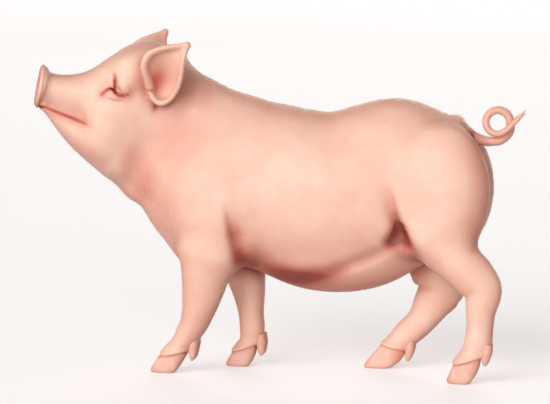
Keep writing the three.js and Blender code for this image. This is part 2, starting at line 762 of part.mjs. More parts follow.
const EAR_ROWS = [
  [266, 97, 25, 4, 90, 14, 0],
  [266, 93, 31, 16, 130, 14, 0],
  [268, 85, 42, 25, 160, 14, 0],
  [266, 89, 66, 35, 152, 14, 3],
  [259, 98, 93, 44, 132, 15, 7],
  [259, 108, 121, 41, 98, 15, 9],
  [269, 117, 142, 29, 78, 15, 10],
  [284, 124, 157, 14, 60, 15, 12],
  [298, 128, 169, 2, 40, 15, 14],
];
const EAR = { thickness: [7.5, 4.4], root: [262, 83, 42], rows: 15, across: 9 };
const EAR_LEAN = { left: 0, right: 12 }; // degrees forwards, about the root
const EAR_SPLAY = { left: 0, right: 17 }; // degrees outwards

function ear(name, side, grow) {
  const stations = EAR_ROWS.map((row, i) => [i, ...row]);
  const root = vec(EAR.root[0], side * EAR.root[1], EAR.root[2]);
  const splay = new THREE.Matrix4().makeRotationX(degToRad(-side * EAR_SPLAY[name]));
  const lean = new THREE.Matrix4().makeTranslation(root).multiply(turnY(-EAR_LEAN[name])).multiply(splay);
  lean.multiply(new THREE.Matrix4().makeTranslation(root.clone().negate())).premultiply(headFrame);
  const rings = Array.from({ length: EAR.rows }, (_, i) => {
    const share = i / (EAR.rows - 1);
    const t = i === 0 ? -grow / 20 : share * (EAR_ROWS.length - 1);
    const columns = [1, 2, 3, 4, 5, 6, 7];
    const [u, v, n, width, wrap, open, slant] = columns.map((column) => between(stations, t, column));
    const half = degToRad(wrap / 2);
    const radius = width / Math.sin(Math.min(half, Math.PI / 2));
    const depth = radius * (1 - Math.cos(half));
    const thick = lerp(...EAR.thickness, share) / 2 + grow;
    const facing = degToRad(open);
    const backward = vec(Math.cos(facing), Math.sin(facing), -Math.tan(degToRad(slant))).normalize();
    const outward = vec(-Math.sin(facing), Math.cos(facing), 0);
    const middle = vec(u, v, n);
    const arc = (offset) =>
      Array.from({ length: EAR.across }, (_, j) => {
        const angle = lerp(-1, 1, j / (EAR.across - 1)) * (half + grow / radius);
        const across = Math.sin(angle) * (radius + offset);
        const out = radius - Math.cos(angle) * (radius + offset) - depth / 2;
        const p = middle.clone().addScaledVector(backward, across).addScaledVector(outward, out);
        return vec(p.x, p.y * side, p.z).applyMatrix4(lean);
      });
    return [...arc(thick), ...arc(-thick).reverse()];
  });
  return stack(rings);
}
for (const [name, side] of [["left", -1], ["right", 1]]) {
  addNode(`ear_${name}`, ear(name, side, 0), skin);
  head = head.subtract(ear(name, side, GAP));
}
addNode("head", head, skin);

// ---------------------------------------------------------------- tail
// A tube along a smooth line through [x, y, z, radius], cut into three lengths. The middle one is a coil of
// a little more than one turn, which starts wider than it ends.

const COIL = { x: 532, z: 582, radius: 26.5, startRadius: 42, startAngle: -80, endAngle: 305, points: 11 };
const coilPoint = (_, i) => {
  const share = i / (COIL.points - 1);
  const angle = degToRad(lerp(COIL.startAngle, COIL.endAngle, share));
  const radius = lerp(COIL.radius, COIL.startRadius, clamp(1 - 4.6 * share, 0, 1));
  const y = lerp(7.5, -16, share);
  return [COIL.x + radius * Math.cos(angle), y, COIL.z + radius * Math.sin(angle), lerp(11, 8, share)];
};
const TAIL = [
  [434, 0, 571, 22],
  [462, 1, 553, 16.5],
  [493, 3, 541, 12.6],
  [518, 5, 537, 11.2],
  ...Array.from({ length: COIL.points }, coilPoint),
  [562, -17, 574, 7],
  [577, -18, 589, 6],
  [590, -18.5, 602, 3.4],
];

function tailLength(from, to, grow) {
  const line = TAIL.map((point, i) => [i, ...point]);
  const count = Math.round((to - from) * 2) + 1;
  const point = (t) => vec(between(line, t, 1), between(line, t, 2), between(line, t, 3));
  const rings = Array.from({ length: count }, (_, i) => {
    const t = lerp(from, to, i / (count - 1));
    const tangent = point(Math.min(t + 0.05, TAIL.length - 1)).sub(point(Math.max(t - 0.05, 0))).normalize();
    const aside = vec(0, 1, 0).addScaledVector(tangent, -tangent.y).normalize();
    const above = aside.clone().cross(tangent);
    const radius = between(line, t, 4) + grow;
    return Array.from({ length: 9 }, (_, j) => {
      const angle = (j / 9) * 2 * Math.PI;
      const sideways = aside.clone().multiplyScalar(Math.cos(angle) * radius);
      return point(t).add(sideways).addScaledVector(above, Math.sin(angle) * radius);
    });
  });
  return stack(rings);
}
const TAIL_GAP = 0.02; // of a step between two points of the line
const COIL_END = 3 + COIL.points;
addNode("tail_base", tailLength(0.5, 3.5, 0), skin);
addNode("tail_loop", tailLength(3.5 + TAIL_GAP, COIL_END, 0), skin);
addNode("tail_tip", tailLength(COIL_END + TAIL_GAP, TAIL.length - 1, 0), skin);
rump = rump.subtract(tailLength(0.5 - TAIL_GAP, 3.5, GAP));
addNode("rump", rump, skin);

// ---------------------------------------------------------------- the middle of the footprint is the origin

const bounds = new THREE.Box3().setFromObject(pig);
pig.position.set(-(bounds.min.x + bounds.max.x) / 2, -(bounds.min.y + bounds.max.y) / 2, -bounds.min.z);

export default pig;
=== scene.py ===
# %% [markdown]
# # A young pig at life size
# The frame holds the pig's solids: parted flesh, hooves and eyes. This notebook dresses them. One skin covers
# all the flesh, worked out as a smooth field and then meshed finely where the face, ears and feet need it.
# Hooves, eyes and bristles are surfaces of their own. We start by loading the solids as a fixed frame.

# %% Load the frame
import math
import time

import bpy
import numpy as np
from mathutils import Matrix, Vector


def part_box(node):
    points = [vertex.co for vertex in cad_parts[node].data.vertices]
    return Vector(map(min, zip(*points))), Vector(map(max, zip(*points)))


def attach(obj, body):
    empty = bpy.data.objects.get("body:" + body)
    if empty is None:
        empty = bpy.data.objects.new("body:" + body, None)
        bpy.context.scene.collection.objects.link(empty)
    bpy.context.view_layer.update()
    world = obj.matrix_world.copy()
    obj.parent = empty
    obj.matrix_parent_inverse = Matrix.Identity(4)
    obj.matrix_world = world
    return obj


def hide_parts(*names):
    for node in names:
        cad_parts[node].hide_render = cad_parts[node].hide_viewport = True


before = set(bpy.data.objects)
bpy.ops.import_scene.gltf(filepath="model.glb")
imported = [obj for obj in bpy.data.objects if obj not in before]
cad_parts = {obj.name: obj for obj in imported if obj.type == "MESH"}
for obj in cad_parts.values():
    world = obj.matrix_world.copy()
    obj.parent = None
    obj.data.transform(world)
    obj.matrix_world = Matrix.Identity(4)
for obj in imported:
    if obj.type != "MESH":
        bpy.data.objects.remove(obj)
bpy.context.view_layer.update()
BEGAN = time.time()

# %% [markdown]
# ## Two frames
# A pig is easiest to describe in the millimetres of a workshop drawing, with the trunk along X and its head
# turned off that line. So the head gets a frame of its own: u runs back from the snout disc, v to the pig's
# right and n up through the forehead. The same few angles set both, so nothing is fitted by eye. The eyeball's
# solid, whose centre is known in both frames, gives the shift from the drawing's origin to the frame's.

# %% Frames of the drawing and of the head
MM = 0.001
ALONG, ASIDE, UP = (1, 0, 0), (0, 1, 0), (0, 0, 1)
SNOUT = np.array([-519.0, 0, 663])  # centre of the snout disc, before the head is turned
HEAD_PITCH, HEAD_TURN, HEAD_ROLL = 10.9, 18, 7  # degrees: muzzle up, to the left, right ear up
HEAD_PIVOT = np.array([-215.0, 0, 590])  # first neck joint
EYE_PLACE = np.array([165.0, 62, 23])  # in the head's frame, on the right side


def turning(axis, degrees):
    """Matrix that turns about a unit axis: I + sin(a) K + (1 - cos(a)) K K, with K the axis's cross product."""
    x, y, z = axis
    cross = np.array([[0, -z, y], [z, 0, -x], [-y, x, 0]], float)
    angle = math.radians(degrees)
    return np.eye(3) + math.sin(angle) * cross + (1 - math.cos(angle)) * cross @ cross


pitch = turning(ASIDE, HEAD_PITCH)
swing = turning(UP, HEAD_TURN) @ turning(pitch[:, 0], HEAD_ROLL)
HEAD_AXES = swing @ pitch
HEAD_ORIGIN = HEAD_PIVOT + swing @ (SNOUT - HEAD_PIVOT)


def to_head(points):
    """Drawing coordinates to the head's (u, v, n)."""
    return (points - HEAD_ORIGIN) @ HEAD_AXES


def from_head(points):
    """The head's (u, v, n) to drawing coordinates."""
    return points @ HEAD_AXES.T + HEAD_ORIGIN


eye_low, eye_high = (np.array(corner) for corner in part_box("eye_left"))
LEFT_EYE = from_head(EYE_PLACE * (1, -1, 1))
SHIFT = (eye_low + eye_high) / 2 - LEFT_EYE * MM


def to_frame(points):
    """Drawing millimetres to the frame's metres."""
    return points * MM + SHIFT


print("the drawing's origin is at", np.round(SHIFT, 4))

# %% [markdown]
# ## Camera
# A long lens from five metres shows the pig almost as a side elevation, a little from the front and from just
# above its back, so that both ears and the far legs show. The camera looks at a point inside the barrel.

# %% Camera
LOOK_AT = np.array([23.0, 0, 393])
DISTANCE, CAMERA_HEIGHT, CAMERA_AZIMUTH = 5000, 850, 9  # millimetres and degrees
FOCAL, FILM = 142.3, 36  # millimetres
rise = (CAMERA_HEIGHT - LOOK_AT[2]) / DISTANCE
level = math.sqrt(1 - rise**2)
azimuth = math.radians(CAMERA_AZIMUTH)
back = np.array([math.sin(azimuth) * level, -math.cos(azimuth) * level, rise])
camera = bpy.data.objects.new("camera", bpy.data.cameras.new("camera"))
camera.location = to_frame(LOOK_AT + DISTANCE * back)
camera.rotation_euler = (math.pi / 2 - math.asin(rise), 0, azimuth)
camera.data.lens = FOCAL
camera.data.sensor_width = FILM
bpy.context.scene.collection.objects.link(camera)
bpy.context.scene.camera = camera
print("camera at", *np.round(camera.location, 3))

# %% [markdown]
# ## Stage
# A museum model stands on a plain pale floor. The floor is a wide disc with its rim curved up, so that no edge
# shows. The light comes from three suns with wide faces, which light the floor evenly however far it reaches: the
# key from above the camera's left, a low warm fill, and one behind for the far side. The floor glows a little,
# casts no shadow and sends no light back up, so that the belly keeps its shade.

# %% Meshes and materials
def grid_faces(rows, columns, wrap=False):
    """Quads between neighbouring rows and columns of a grid. With wrap, the last column joins the first."""
    row = np.arange(rows - 1)[:, None]
    column = np.arange(columns if wrap else columns - 1)[None]
    after = (column + 1) % columns
    here, above = row * columns, (row + 1) * columns
    corners = [here + column, here + after, above + after, above + column]
    return np.stack(corners, -1).reshape(-1, 4)


def smooth_mesh(name, points, faces, material):
    """A smooth-shaded mesh object from triangles or quads, with its place in its mesh."""
    count = faces.shape[1]
    mesh = bpy.data.meshes.new(name)
    mesh.vertices.add(len(points))
    mesh.vertices.foreach_set("co", points.astype(np.float32).ravel())
    mesh.loops.add(faces.size)
    mesh.loops.foreach_set("vertex_index", faces.astype(np.int32).ravel())
    mesh.polygons.add(len(faces))
    mesh.polygons.foreach_set("loop_start", np.arange(0, faces.size, count, dtype=np.int32))
    mesh.polygons.foreach_set("use_smooth", np.ones(len(faces), bool))
    mesh.update(calc_edges=True)
    mesh.materials.append(material)
    made = bpy.data.objects.new(name, mesh)
    bpy.context.scene.collection.objects.link(made)
    return made


def set_up(node, **settings):
    """Sets some of a node's settings and input values. In an input's name, _ stands for a space."""
    for name, value in settings.items():
        if hasattr(node, name):
            setattr(node, name, value)
        else:
            node.inputs[name.replace("_", " ")].default_value = value
    return node


def new_material(name, **values):
    """A material, its node tree and its shader, with some of the shader's values."""
    made = bpy.data.materials.new(name)
    made.use_nodes = True
    return made, made.node_tree, set_up(made.node_tree.nodes["Principled BSDF"], **values)


print("a grid of 3 by 4 points has", len(grid_faces(3, 4)), "faces")

# %% Floor
FLOOR_RADIUS, RIM_RADIUS = 30.0, 16.0  # metres
RIM_STEPS, FLOOR_COLUMNS = 16, 96
floor_paint, _, _ = new_material(
    "pale floor",
    Base_Color=(0.84, 0.865, 0.885, 1),
    Roughness=0.8,
    Emission_Color=(0.93, 0.98, 1, 1),
    Emission_Strength=0.38,
)
bend = np.linspace(0, math.pi / 2, RIM_STEPS)
out = np.concatenate([[0.001, 2, 8, 18], FLOOR_RADIUS + RIM_RADIUS * np.sin(bend)])
up = np.concatenate([[0, 0, 0, 0], RIM_RADIUS * (1 - np.cos(bend))])
around = np.linspace(0, 2 * math.pi, FLOOR_COLUMNS, endpoint=False)
rings = np.stack(np.broadcast_arrays(out[:, None] * np.cos(around), out[:, None] * np.sin(around), up[:, None]), -1)
floor = smooth_mesh("floor", rings.reshape(-1, 3), grid_faces(len(out), FLOOR_COLUMNS, wrap=True), floor_paint)
floor.visible_diffuse = False
floor.visible_shadow = False
print("floor", 2 * (FLOOR_RADIUS + RIM_RADIUS), "m across")

# %% Lights
AIM = np.array((0, 0, 0.4))  # inside the pig, in metres


def sun(name, place, power, colour, width):
    """A sun that shines from a place towards the pig, so many degrees wide."""
    lamp = bpy.data.lights.new(name, "SUN")
    lamp.energy = power
    lamp.color = colour
    lamp.angle = math.radians(width)
    made = bpy.data.objects.new(name, lamp)
    made.location = place
    towards = AIM - place
    down = math.atan2(math.hypot(*towards[:2]), -towards[2])
    made.rotation_euler = (down, 0, math.atan2(-towards[0], towards[1]))
    bpy.context.scene.collection.objects.link(made)


sun("key", (-2.3, -4.0, 2.1), 2.1, (1, 0.99, 0.97), 50)
sun("fill", (0.2, -4.0, 0.6), 1.3, (1, 0.93, 0.89), 60)
sun("back", (0.2, 3.6, 0.7), 1.8, (1, 0.95, 0.92), 60)
BACKGROUND = 0.25
world = bpy.data.worlds.new("studio")
world.use_nodes = True
set_up(world.node_tree.nodes["Background"], Color=(1, 0.76, 0.67, 1), Strength=BACKGROUND)
bpy.context.scene.world = world
bpy.context.scene.view_settings.view_transform = "Standard"
print("three suns and a warm sky, of strength", BACKGROUND)

# %% [markdown]
# ## Flesh as a field
# Flesh has no edges: a leg flows into a shoulder and a cheek into a jaw. Lofted tubes joined by hand would show
# where they meet, so each mass of flesh is a formula instead, which gives about the distance from any point to
# its surface, negative inside. Masses blend when their distances are joined by a rounded minimum. First come the
# tools: bell curves, a smooth curve through stations, the distance to an ellipsoid, and the rounded minimum.

# %% Bells and boxes
def bell(distance, width):
    """exp(-(d / w)^2), which is 1 at no distance and fades over the width."""
    return np.exp(-((distance / width) ** 2))


def spot(places, middle, reach):
    """The same round a middle, with a reach of its own along each axis."""
    return np.exp(-(((places - middle) / reach) ** 2).sum(1))


def within(points, low, high):
    """Which points lie in the box between two corners."""
    return ((points > low) & (points < high)).all(1)


def near_origin(points, *reach):
    """Which points lie within a reach of the origin along each axis."""
    return (np.abs(points) < reach).all(1)


print("a bell's height at half its width, its width and twice that:", *bell(np.array([0.5, 1, 2]), 1).round(2))

# %% Curves and rounded joins
def curve_through(stations, t):
    """Smooth curve through rows [t, values]: cubic pieces, sloped at each row like the chord of its neighbours."""
    rows = np.asarray(stations, float)
    last = len(rows) - 1
    before = rows[np.maximum(np.arange(last + 1) - 1, 0)]
    after = rows[np.minimum(np.arange(last + 1) + 1, last)]
    slope = (after - before)[:, 1:] / (after - before)[:, :1]
    i = np.clip(np.searchsorted(rows[:, 0], t) - 1, 0, last - 1)
    span = (rows[i + 1, 0] - rows[i, 0])[:, None]
    s = (t - rows[i, 0])[:, None] / span
    blend = 3 * s**2 - 2 * s**3
    chord = (1 - blend) * rows[i, 1:] + blend * rows[i + 1, 1:]
    return chord + span * ((s**3 - 2 * s**2 + s) * slope[i] + (s**3 - s**2) * slope[i + 1])


def ellipsoid_distance(offset, radii):
    """About the distance to an ellipsoid: k (k - 1) / m, with k = |p / r| and m = |p / r^2|."""
    k = np.linalg.norm(offset / radii, axis=1)
    m = np.linalg.norm(offset / radii**2, axis=1)
    inside = -np.broadcast_to(radii, offset.shape).min(1)
    return np.where(k < 1e-3, inside, k * (k - 1) / np.maximum(m, 1e-9))


def rounded_minimum(a, b, width):
    """min(a, b), lowered by h^2 w / 4 with h = 1 - |a - b| / w, where the two are within w of each other."""
    h = np.maximum(1 - np.abs(a - b) / width, 0)
    return np.minimum(a, b) - h * h * width / 4


def rounded_maximum(a, b, width):
    """The same for max(a, b), which cuts one shape by another with a rounded edge."""
    return -rounded_minimum(-a, -b, width)


join = rounded_minimum(np.zeros(1), np.zeros(1), 30)[0]
print("masses that blend over 30 mm swell by", -join, "mm where they meet")

# %% Masses of flesh
FAR = 1000.0  # millimetres, the distance given where a piece is too far away to matter
MARGIN = 60  # how far round a piece its distance is worked out


def piece(distance, low, high, blend):
    """A mass of flesh: its distance, the box that holds it and the width over which it blends."""
    return {"distance": distance, "low": np.array(low) - MARGIN, "high": np.array(high) + MARGIN, "blend": blend}


def blended(pieces, points):
    """The pieces' distances, joined one after the other by rounded minimums. Far pieces are skipped."""
    total = np.full(len(points), FAR)
    for one in pieces:
        near = within(points, one["low"], one["high"])
        found = one["distance"](points[near])
        total[near] = rounded_minimum(total[near], found, max(one["blend"], 1e-6))
    return total


def loft(origin, axis, up, stations, caps, blend):
    """A mass along a straight axis, elliptic in section.

    Its stations are [place along, height above the axis, depth below it, half width].
    """
    stations = np.array(stations, float)
    along_axis = np.array(axis, float) / np.linalg.norm(axis)
    up_axis = np.array(up, float) - np.dot(up, along_axis) * along_axis
    up_axis /= np.linalg.norm(up_axis)
    aside_axis = np.cross(up_axis, along_axis)
    first, last = stations[0, 0], stations[-1, 0]

    def distance(points):
        offset = points - origin
        along, above, aside = offset @ along_axis, offset @ up_axis, offset @ aside_axis
        t = np.clip(along, first, last)
        size = curve_through(stations, t)
        height = np.where(above > 0, size[:, 0], size[:, 1])
        cap = np.where(along < first, caps[0], caps[1])
        radii = np.stack([size[:, 2], height, cap], 1)
        return ellipsoid_distance(np.stack([aside, above, along - t], 1), radii)

    ends = np.array([origin + along_axis * (first - caps[0]), origin + along_axis * (last + caps[1])])
    reach = stations[:, 1:].max()
    return piece(distance, ends.min(0) - reach, ends.max(0) + reach, blend)


def ellipsoid(centre, radii, blend, tilt=0):
    """An ellipsoid with radii along, across and up, tilted about Y by some degrees."""
    axes = turning(ASIDE, tilt)
    reach = max(radii)

    def distance(points):
        return ellipsoid_distance((points - centre) @ axes, np.array(radii, float))

    return piece(distance, np.array(centre) - reach, np.array(centre) + reach, blend)


ball = ellipsoid((0, 0, 0), (30, 20, 20), 0)
print("an ellipsoid 60 mm long, seen 40 mm from its middle:", ball["distance"](np.array([[40.0, 0, 0]])), "mm off")

# %% Lines and limbs
def tube_line(joints, parts):
    """Points [x, y, z, radii] along a smooth line through joints, `parts` of them between two joints."""
    joints = np.array(joints, float)
    step = np.linalg.norm(np.diff(joints[:, :3], axis=0), axis=1)
    along = np.concatenate([[0], np.cumsum(step)])
    t = np.interp(np.arange((len(joints) - 1) * parts + 1) / parts, np.arange(len(joints)), along)
    return curve_through(np.column_stack([along, joints]), t)


def nearest_on_line(points, line):
    """For each point, the distance to a polyline and its nearest place on it, as a number of steps along it."""
    start, step = line[:-1, :3], np.diff(line[:, :3], axis=0)
    length2 = (step**2).sum(1)
    best = np.full(len(points), np.inf)
    place = np.zeros(len(points))
    for i in range(len(step)):
        offset = points - start[i]
        t = np.clip(offset @ step[i] / length2[i], 0, 1)
        away = ((offset - t[:, None] * step[i]) ** 2).sum(1)
        closer = away < best
        best[closer] = away[closer]
        place[closer] = i + t[closer]
    return np.sqrt(best), place


def at_place(line, place):
    """Values of a polyline's rows at places counted in steps along it."""
    i = np.clip(place.astype(int), 0, len(line) - 2)
    share = (place - i)[:, None]
    return line[i] * (1 - share) + line[i + 1] * share


def limb(joints, blend, parts=6):
    """A leg along a smooth line through joints [x, y, z, fore-and-aft radius, sideways radius]."""
    line = tube_line(joints, parts)
    heading = np.gradient(line[:, :3], axis=0)

    def distance(points):
        _, place = nearest_on_line(points, line)
        here = at_place(line, place)
        axis = at_place(heading, place)
        axis /= np.linalg.norm(axis, axis=1)[:, None]
        fore = np.stack([axis[:, 2], 0 * axis[:, 0], -axis[:, 0]], 1)
        fore /= np.linalg.norm(fore, axis=1)[:, None]
        aside = np.cross(fore, axis)
        offset = points - here[:, :3]
        local = np.stack([(offset * aside).sum(1), (offset * fore).sum(1), (offset * axis).sum(1)], 1)
        return ellipsoid_distance(local, np.stack([here[:, 4], here[:, 3], 0.8 * here[:, 3]], 1))

    reach = line[:, 3].max()
    return piece(distance, line[:, :3].min(0) - reach, line[:, :3].max(0) + reach, blend)


bent_line = tube_line([(0, 0, 0, 9), (0, 0, 50, 7), (20, 0, 90, 5)], 6)
print("a limb of three joints follows", len(bent_line), "points")

# %% [markdown]
# ## Trunk, neck and legs
# The trunk is one loft with a saddle behind the shoulders, a belly that hangs deepest in front of the stifle and
# a high round rump. The neck rises to the raised head. Shoulder blades and hams are ellipsoids just under the
# skin, and each leg follows its joints down to the foot. These are the sizes of the solids.

# %% Masses of the body
SIDES = (-1, 1)  # the pig's left and right
TRUNK = [
    [-150, 175, 160, 92],
    [-60, 204, 176, 118],
    [30, 199, 192, 130],
    [90, 188, 206, 135],
    [150, 181, 212, 137],
    [215, 197, 206, 134],
    [280, 212, 190, 128],
    [345, 206, 172, 122],
    [425, 174, 140, 100],
]
NECK = [
    [-70, 190, 196, 112],
    [44, 192, 178, 108],
    [92, 184, 166, 102],
    [130, 175, 172, 97],
    [178, 162, 165, 92],
    [235, 150, 146, 86],
]
LEGS = {
    "fore_left": [
        [-118, -82, 275, 66, 44],
        [-133, -73, 193, 49, 36],
        [-152, -62, 125, 35, 30],
        [-174, -55, 86, 29, 25],
        [-192, -51, 62, 24, 24],
        [-207, -48, 44, 27, 28],
        [-213, -47, 36, 27, 28],
    ],
    "fore_right": [
        [-72, 82, 275, 62, 44],
        [-52, 77, 179, 41, 34],
        [-45, 72, 125, 31, 28],
        [-42, 69, 80, 30, 25],
        [-49, 68, 54, 25, 24],
        [-59, 68, 38, 27, 28],
        [-65, 68, 29, 27, 28],
    ],
    "hind_left": [
        [408, -84, 335, 78, 52],
        [449, -92, 277, 55, 40],
        [487, -94, 239, 50, 33],
        [507, -94, 209, 44, 28],
        [503, -93, 162, 34, 26],
        [501, -92, 125, 31, 24],
        [497, -92, 90, 32, 26],
        [486, -92, 66, 28, 26],
        [473, -92, 49, 28, 29],
        [467, -92, 41, 28, 29],
    ],
    "hind_right": [
        [372, 84, 300, 76, 50],
        [386, 90, 242, 64, 40],
        [398, 92, 190, 57, 33],
        [378, 92, 152, 45, 28],
        [352, 92, 111, 35, 25],
        [322, 92, 82, 33, 25],
        [302, 92, 61, 30, 26],
        [289, 92, 48, 29, 29],
        [281, 92, 40, 29, 29],
    ],
}
LEG_BLEND = 30  # between a leg and the trunk
body_pieces = [
    loft(np.array([0, 0, 420]), ALONG, UP, TRUNK, (60, 66), 40),
    ellipsoid((164, 0, 290), (196, 94, 103), 24),
    *[ellipsoid((-108, side * 76, 385), (86, 56, 150), 50, tilt=-12) for side in SIDES],
    *[ellipsoid((418, side * 70, 425), (103, 64, 150), 45, tilt=2) for side in SIDES],
    loft(np.array([-112, 0, 440]), (-0.742, 0, 0.67), (0.67, 0, 0.742), NECK, (60, 60), 45),
    *[limb(joints, LEG_BLEND) for joints in LEGS.values()],
]
print(len(body_pieces), "masses in the body")

# %% [markdown]
# ## Head
# The skull is a loft from the narrow muzzle up over the steep forehead of a young pig. The jaw hangs below it,
# and cheeks, brows and temples fill the sides. All are given in the head's frame.

# %% Masses of the head
SKULL = [
    [3, 33, 43, 34],
    [40, 32, 50, 36],
    [80, 42, 60, 44],
    [110, 60, 70, 55],
    [145, 94, 84, 68],
    [185, 130, 96, 78],
    [235, 148, 105, 84],
    [290, 134, 100, 80],
]
JAW = [
    [0, 12, 10, 23],
    [45, 30, 28, 36],
    [92, 46, 43, 50],
    [145, 52, 53, 63],
    [195, 60, 58, 68],
]
HEAD_BLEND = 34  # between the head and the neck
head_pieces = [
    loft(np.zeros(3), ALONG, UP, SKULL, (4, 45), 0),
    loft(np.array([20, 0, -48]), (180, 0, -77), (77, 0, 180), JAW, (6, 50), 26),
    *[ellipsoid((178, side * 50, -58), (62, 34, 68), 30, tilt=20) for side in SIDES],
    *[ellipsoid((186, side * 46, 62), (36, 26, 30), 24, tilt=-30) for side in SIDES],
    *[ellipsoid((226, side * 46, 88), (64, 38, 42), 30, tilt=-12) for side in SIDES],
]
print(len(head_pieces), "masses in the head")

# %% [markdown]
# ## Snout disc and nostrils
# The disc at the end of the muzzle is a pad of tough skin on a small bone, with a raised rim and two round
# nostrils. As a field it is a short oval cylinder: the greater of its distance to the side and to the face,
# rounded where they meet. The nostrils are ellipsoids cut out of it, and the face is dished between them.

# %% Snout disc
DISC_UP, DISC_DOWN, DISC_SIDE = 46, 47, 39
DISC_FACE, DISC_BACK = -7, 12  # along the muzzle
DISC_BLEND = 14  # between the disc and the muzzle
DISH_DEPTH, DISH_REACH = 3.0, 0.62  # reach, place and width are shares of the disc's radius
RIDGE_HEIGHT, RIDGE_PLACE, RIDGE_WIDTH = 0.9, 0.84, 0.12
DISC_GROOVE, GROOVE_WIDTH = 0.6, 2.8  # round the disc's back
NOSTRIL_APART, NOSTRIL_HEIGHT = 17, 1
NOSTRIL_RADII = np.array([15.0, 6.5, 9.5])


def disc_back(n):
    """How far back the disc's rim reaches: all the way on top, less and less towards the lip."""
    return DISC_BACK - 7 * np.clip((20 - n) / 60, 0, 1)


def snout_disc(head):
    """The disc without its nostrils, from points in the head's frame."""
    u, v, n = head.T
    tall = np.where(n > 0, DISC_UP, DISC_DOWN)
    share = np.hypot(v / DISC_SIDE, n / tall)
    to_side = (share - 1) * (DISC_SIDE + tall) / 2
    dish = DISH_DEPTH * bell(share, DISH_REACH) - RIDGE_HEIGHT * bell(share - RIDGE_PLACE, RIDGE_WIDTH)
    behind = rounded_maximum(to_side, u - disc_back(n), 12)
    return rounded_maximum(behind, DISC_FACE + dish - u, 5)


def nostrils(head):
    """Distance to the nearer nostril's hollow."""
    offset = np.stack([head[:, 0] - DISC_FACE, np.abs(head[:, 1]) - NOSTRIL_APART, head[:, 2] - NOSTRIL_HEIGHT], 1)
    offset[:, 1] += 0.22 * np.maximum(offset[:, 2], 0)
    return ellipsoid_distance(offset, NOSTRIL_RADII)


print("disc", 2 * DISC_SIDE, "mm wide and", DISC_UP + DISC_DOWN, "mm high")

# %% [markdown]
# ## Folds
# Creases such as the mouth line and the folds round the eye are narrow, so they are carved into the finished
# field: the field rises by a bell curve of the distance to a line, and the surface sinks there by about the
# line's depth. A negative depth raises a ridge. The lines are drawn on the side of the head, as (u, n).

# %% Folds on the side of the head
MOUTH_HEIGHT, MOUTH_FALL, MOUTH_CORNER = -43, math.tan(math.radians(9.2)), 112  # at u = 0, slope, end's u


def fold(flat, line, depth, width, taper=0.25, left=None):
    """Rise of the field along a line: depth exp(-(distance / width)^2), fading over a share of each end.

    With left, the side to the left of the line's direction has that width, so a crease can be steeper there.
    """
    line = np.column_stack([np.array(line, float), np.zeros(len(line))])
    reach = 3 * max(width, left or 0)
    low, high = line.min(0)[:2] - reach, line.max(0)[:2] + reach
    near = within(flat, low, high)
    away, place = nearest_on_line(np.column_stack([flat[near], np.zeros(near.sum())]), line)
    share = place / (len(line) - 1)
    fade = np.clip(np.minimum(share, 1 - share) / max(taper, 1e-6), 0, 1)
    if left is not None:
        first = place.astype(int).clip(0, len(line) - 2)
        run, offset = (line[first + 1] - line[first])[:, :2], flat[near] - line[first][:, :2]
        width = np.where(run[:, 0] * offset[:, 1] > run[:, 1] * offset[:, 0], left, width)
    rise = np.zeros(len(flat))
    rise[near] = depth * fade**0.7 * bell(away, width)
    return rise


def to_mouth(head):
    """Height above the mouth line, which dips under the disc, and how open it is, from 1 in front to 0."""
    u, _, n = head.T
    line = MOUTH_HEIGHT - MOUTH_FALL * np.maximum(u, 0) - 5 * np.clip((18 - u) / 18, 0, 1)
    return n - line, np.clip((MOUTH_CORNER + 4 - u) / 30, 0, 1) * np.clip((u - 1) / 8, 0, 1)


def mouth(head):
    """The mouth line between swelling lips, and the dimple at its corner."""
    off, open_share = to_mouth(head)
    groove = 2.8 * bell(off, 2.4)
    lips = -1.2 * bell(off + 6, 4.5) - 1.4 * bell(off - 6, 5)
    corner = 2.4 * np.exp(-((head[:, 0] - MOUTH_CORNER - 4) ** 2 + (off - 3) ** 2) / 110)
    return open_share * (groove + lips) + corner


print("the mouth falls", round(MOUTH_FALL * MOUTH_CORNER), "mm to its corner")

# %% [markdown]
# ## Eyes half closed
# A pig's eye is small, set deep and fringed with pale lashes. In bright light its lids nearly meet. The lids are
# a dome over the eyeball. The slit between them is an arch, cut only as deep as the ball's front, so a dark
# wet sliver shows. A fold rises from the slit over a puffy upper lid, and fine folds run below.

# %% Lids
EYE_RADIUS = 14
LID_RADII = np.array([34, 16.5, 26])  # along the slit, outwards, up
EYE_AXES = turning(UP, 15) @ turning(ASIDE, -6)
SLIT = [(-28, -6), (-19, 4), (-10, 9.5), (-2, 8), (5, 1.5), (14, -3.5), (23, -3.5), (30, 0)]  # (x, z)
HOOD_FOLD = [(-4, 41), (-1, 26), (1, 14), (2, 5)]
LID_FOLD = [(-3, 37), (6, 23), (15, 10), (28, 1)]
UNDER_FOLD = [(-24, -9), (-8, -16), (14, -19), (31, -9)]
LID_BULGES = [  # height, middle and reach
    (1.5, (9, 16), (5, 9)),
    (2.4, (-2, -8), (19, 6.5)),
    (2.5, (26, 24), (14, 16)),
]


def to_eye(head):
    """The head's frame to the eye's: x back along the slit, y outwards, z up. Both sides share it."""
    mirrored = head * (1, 0, 1) + np.abs(head) * (0, 1, 0)
    return (mirrored - EYE_PLACE) @ EYE_AXES


def to_slit(eye):
    """Distance to the slit's line, seen from the side, and the share of its length, from 0 to 1."""
    line = np.array([(x, 0, z) for x, z in SLIT], float)
    away, place = nearest_on_line(eye * (1, 0, 1), line)
    return away, place / (len(SLIT) - 1)


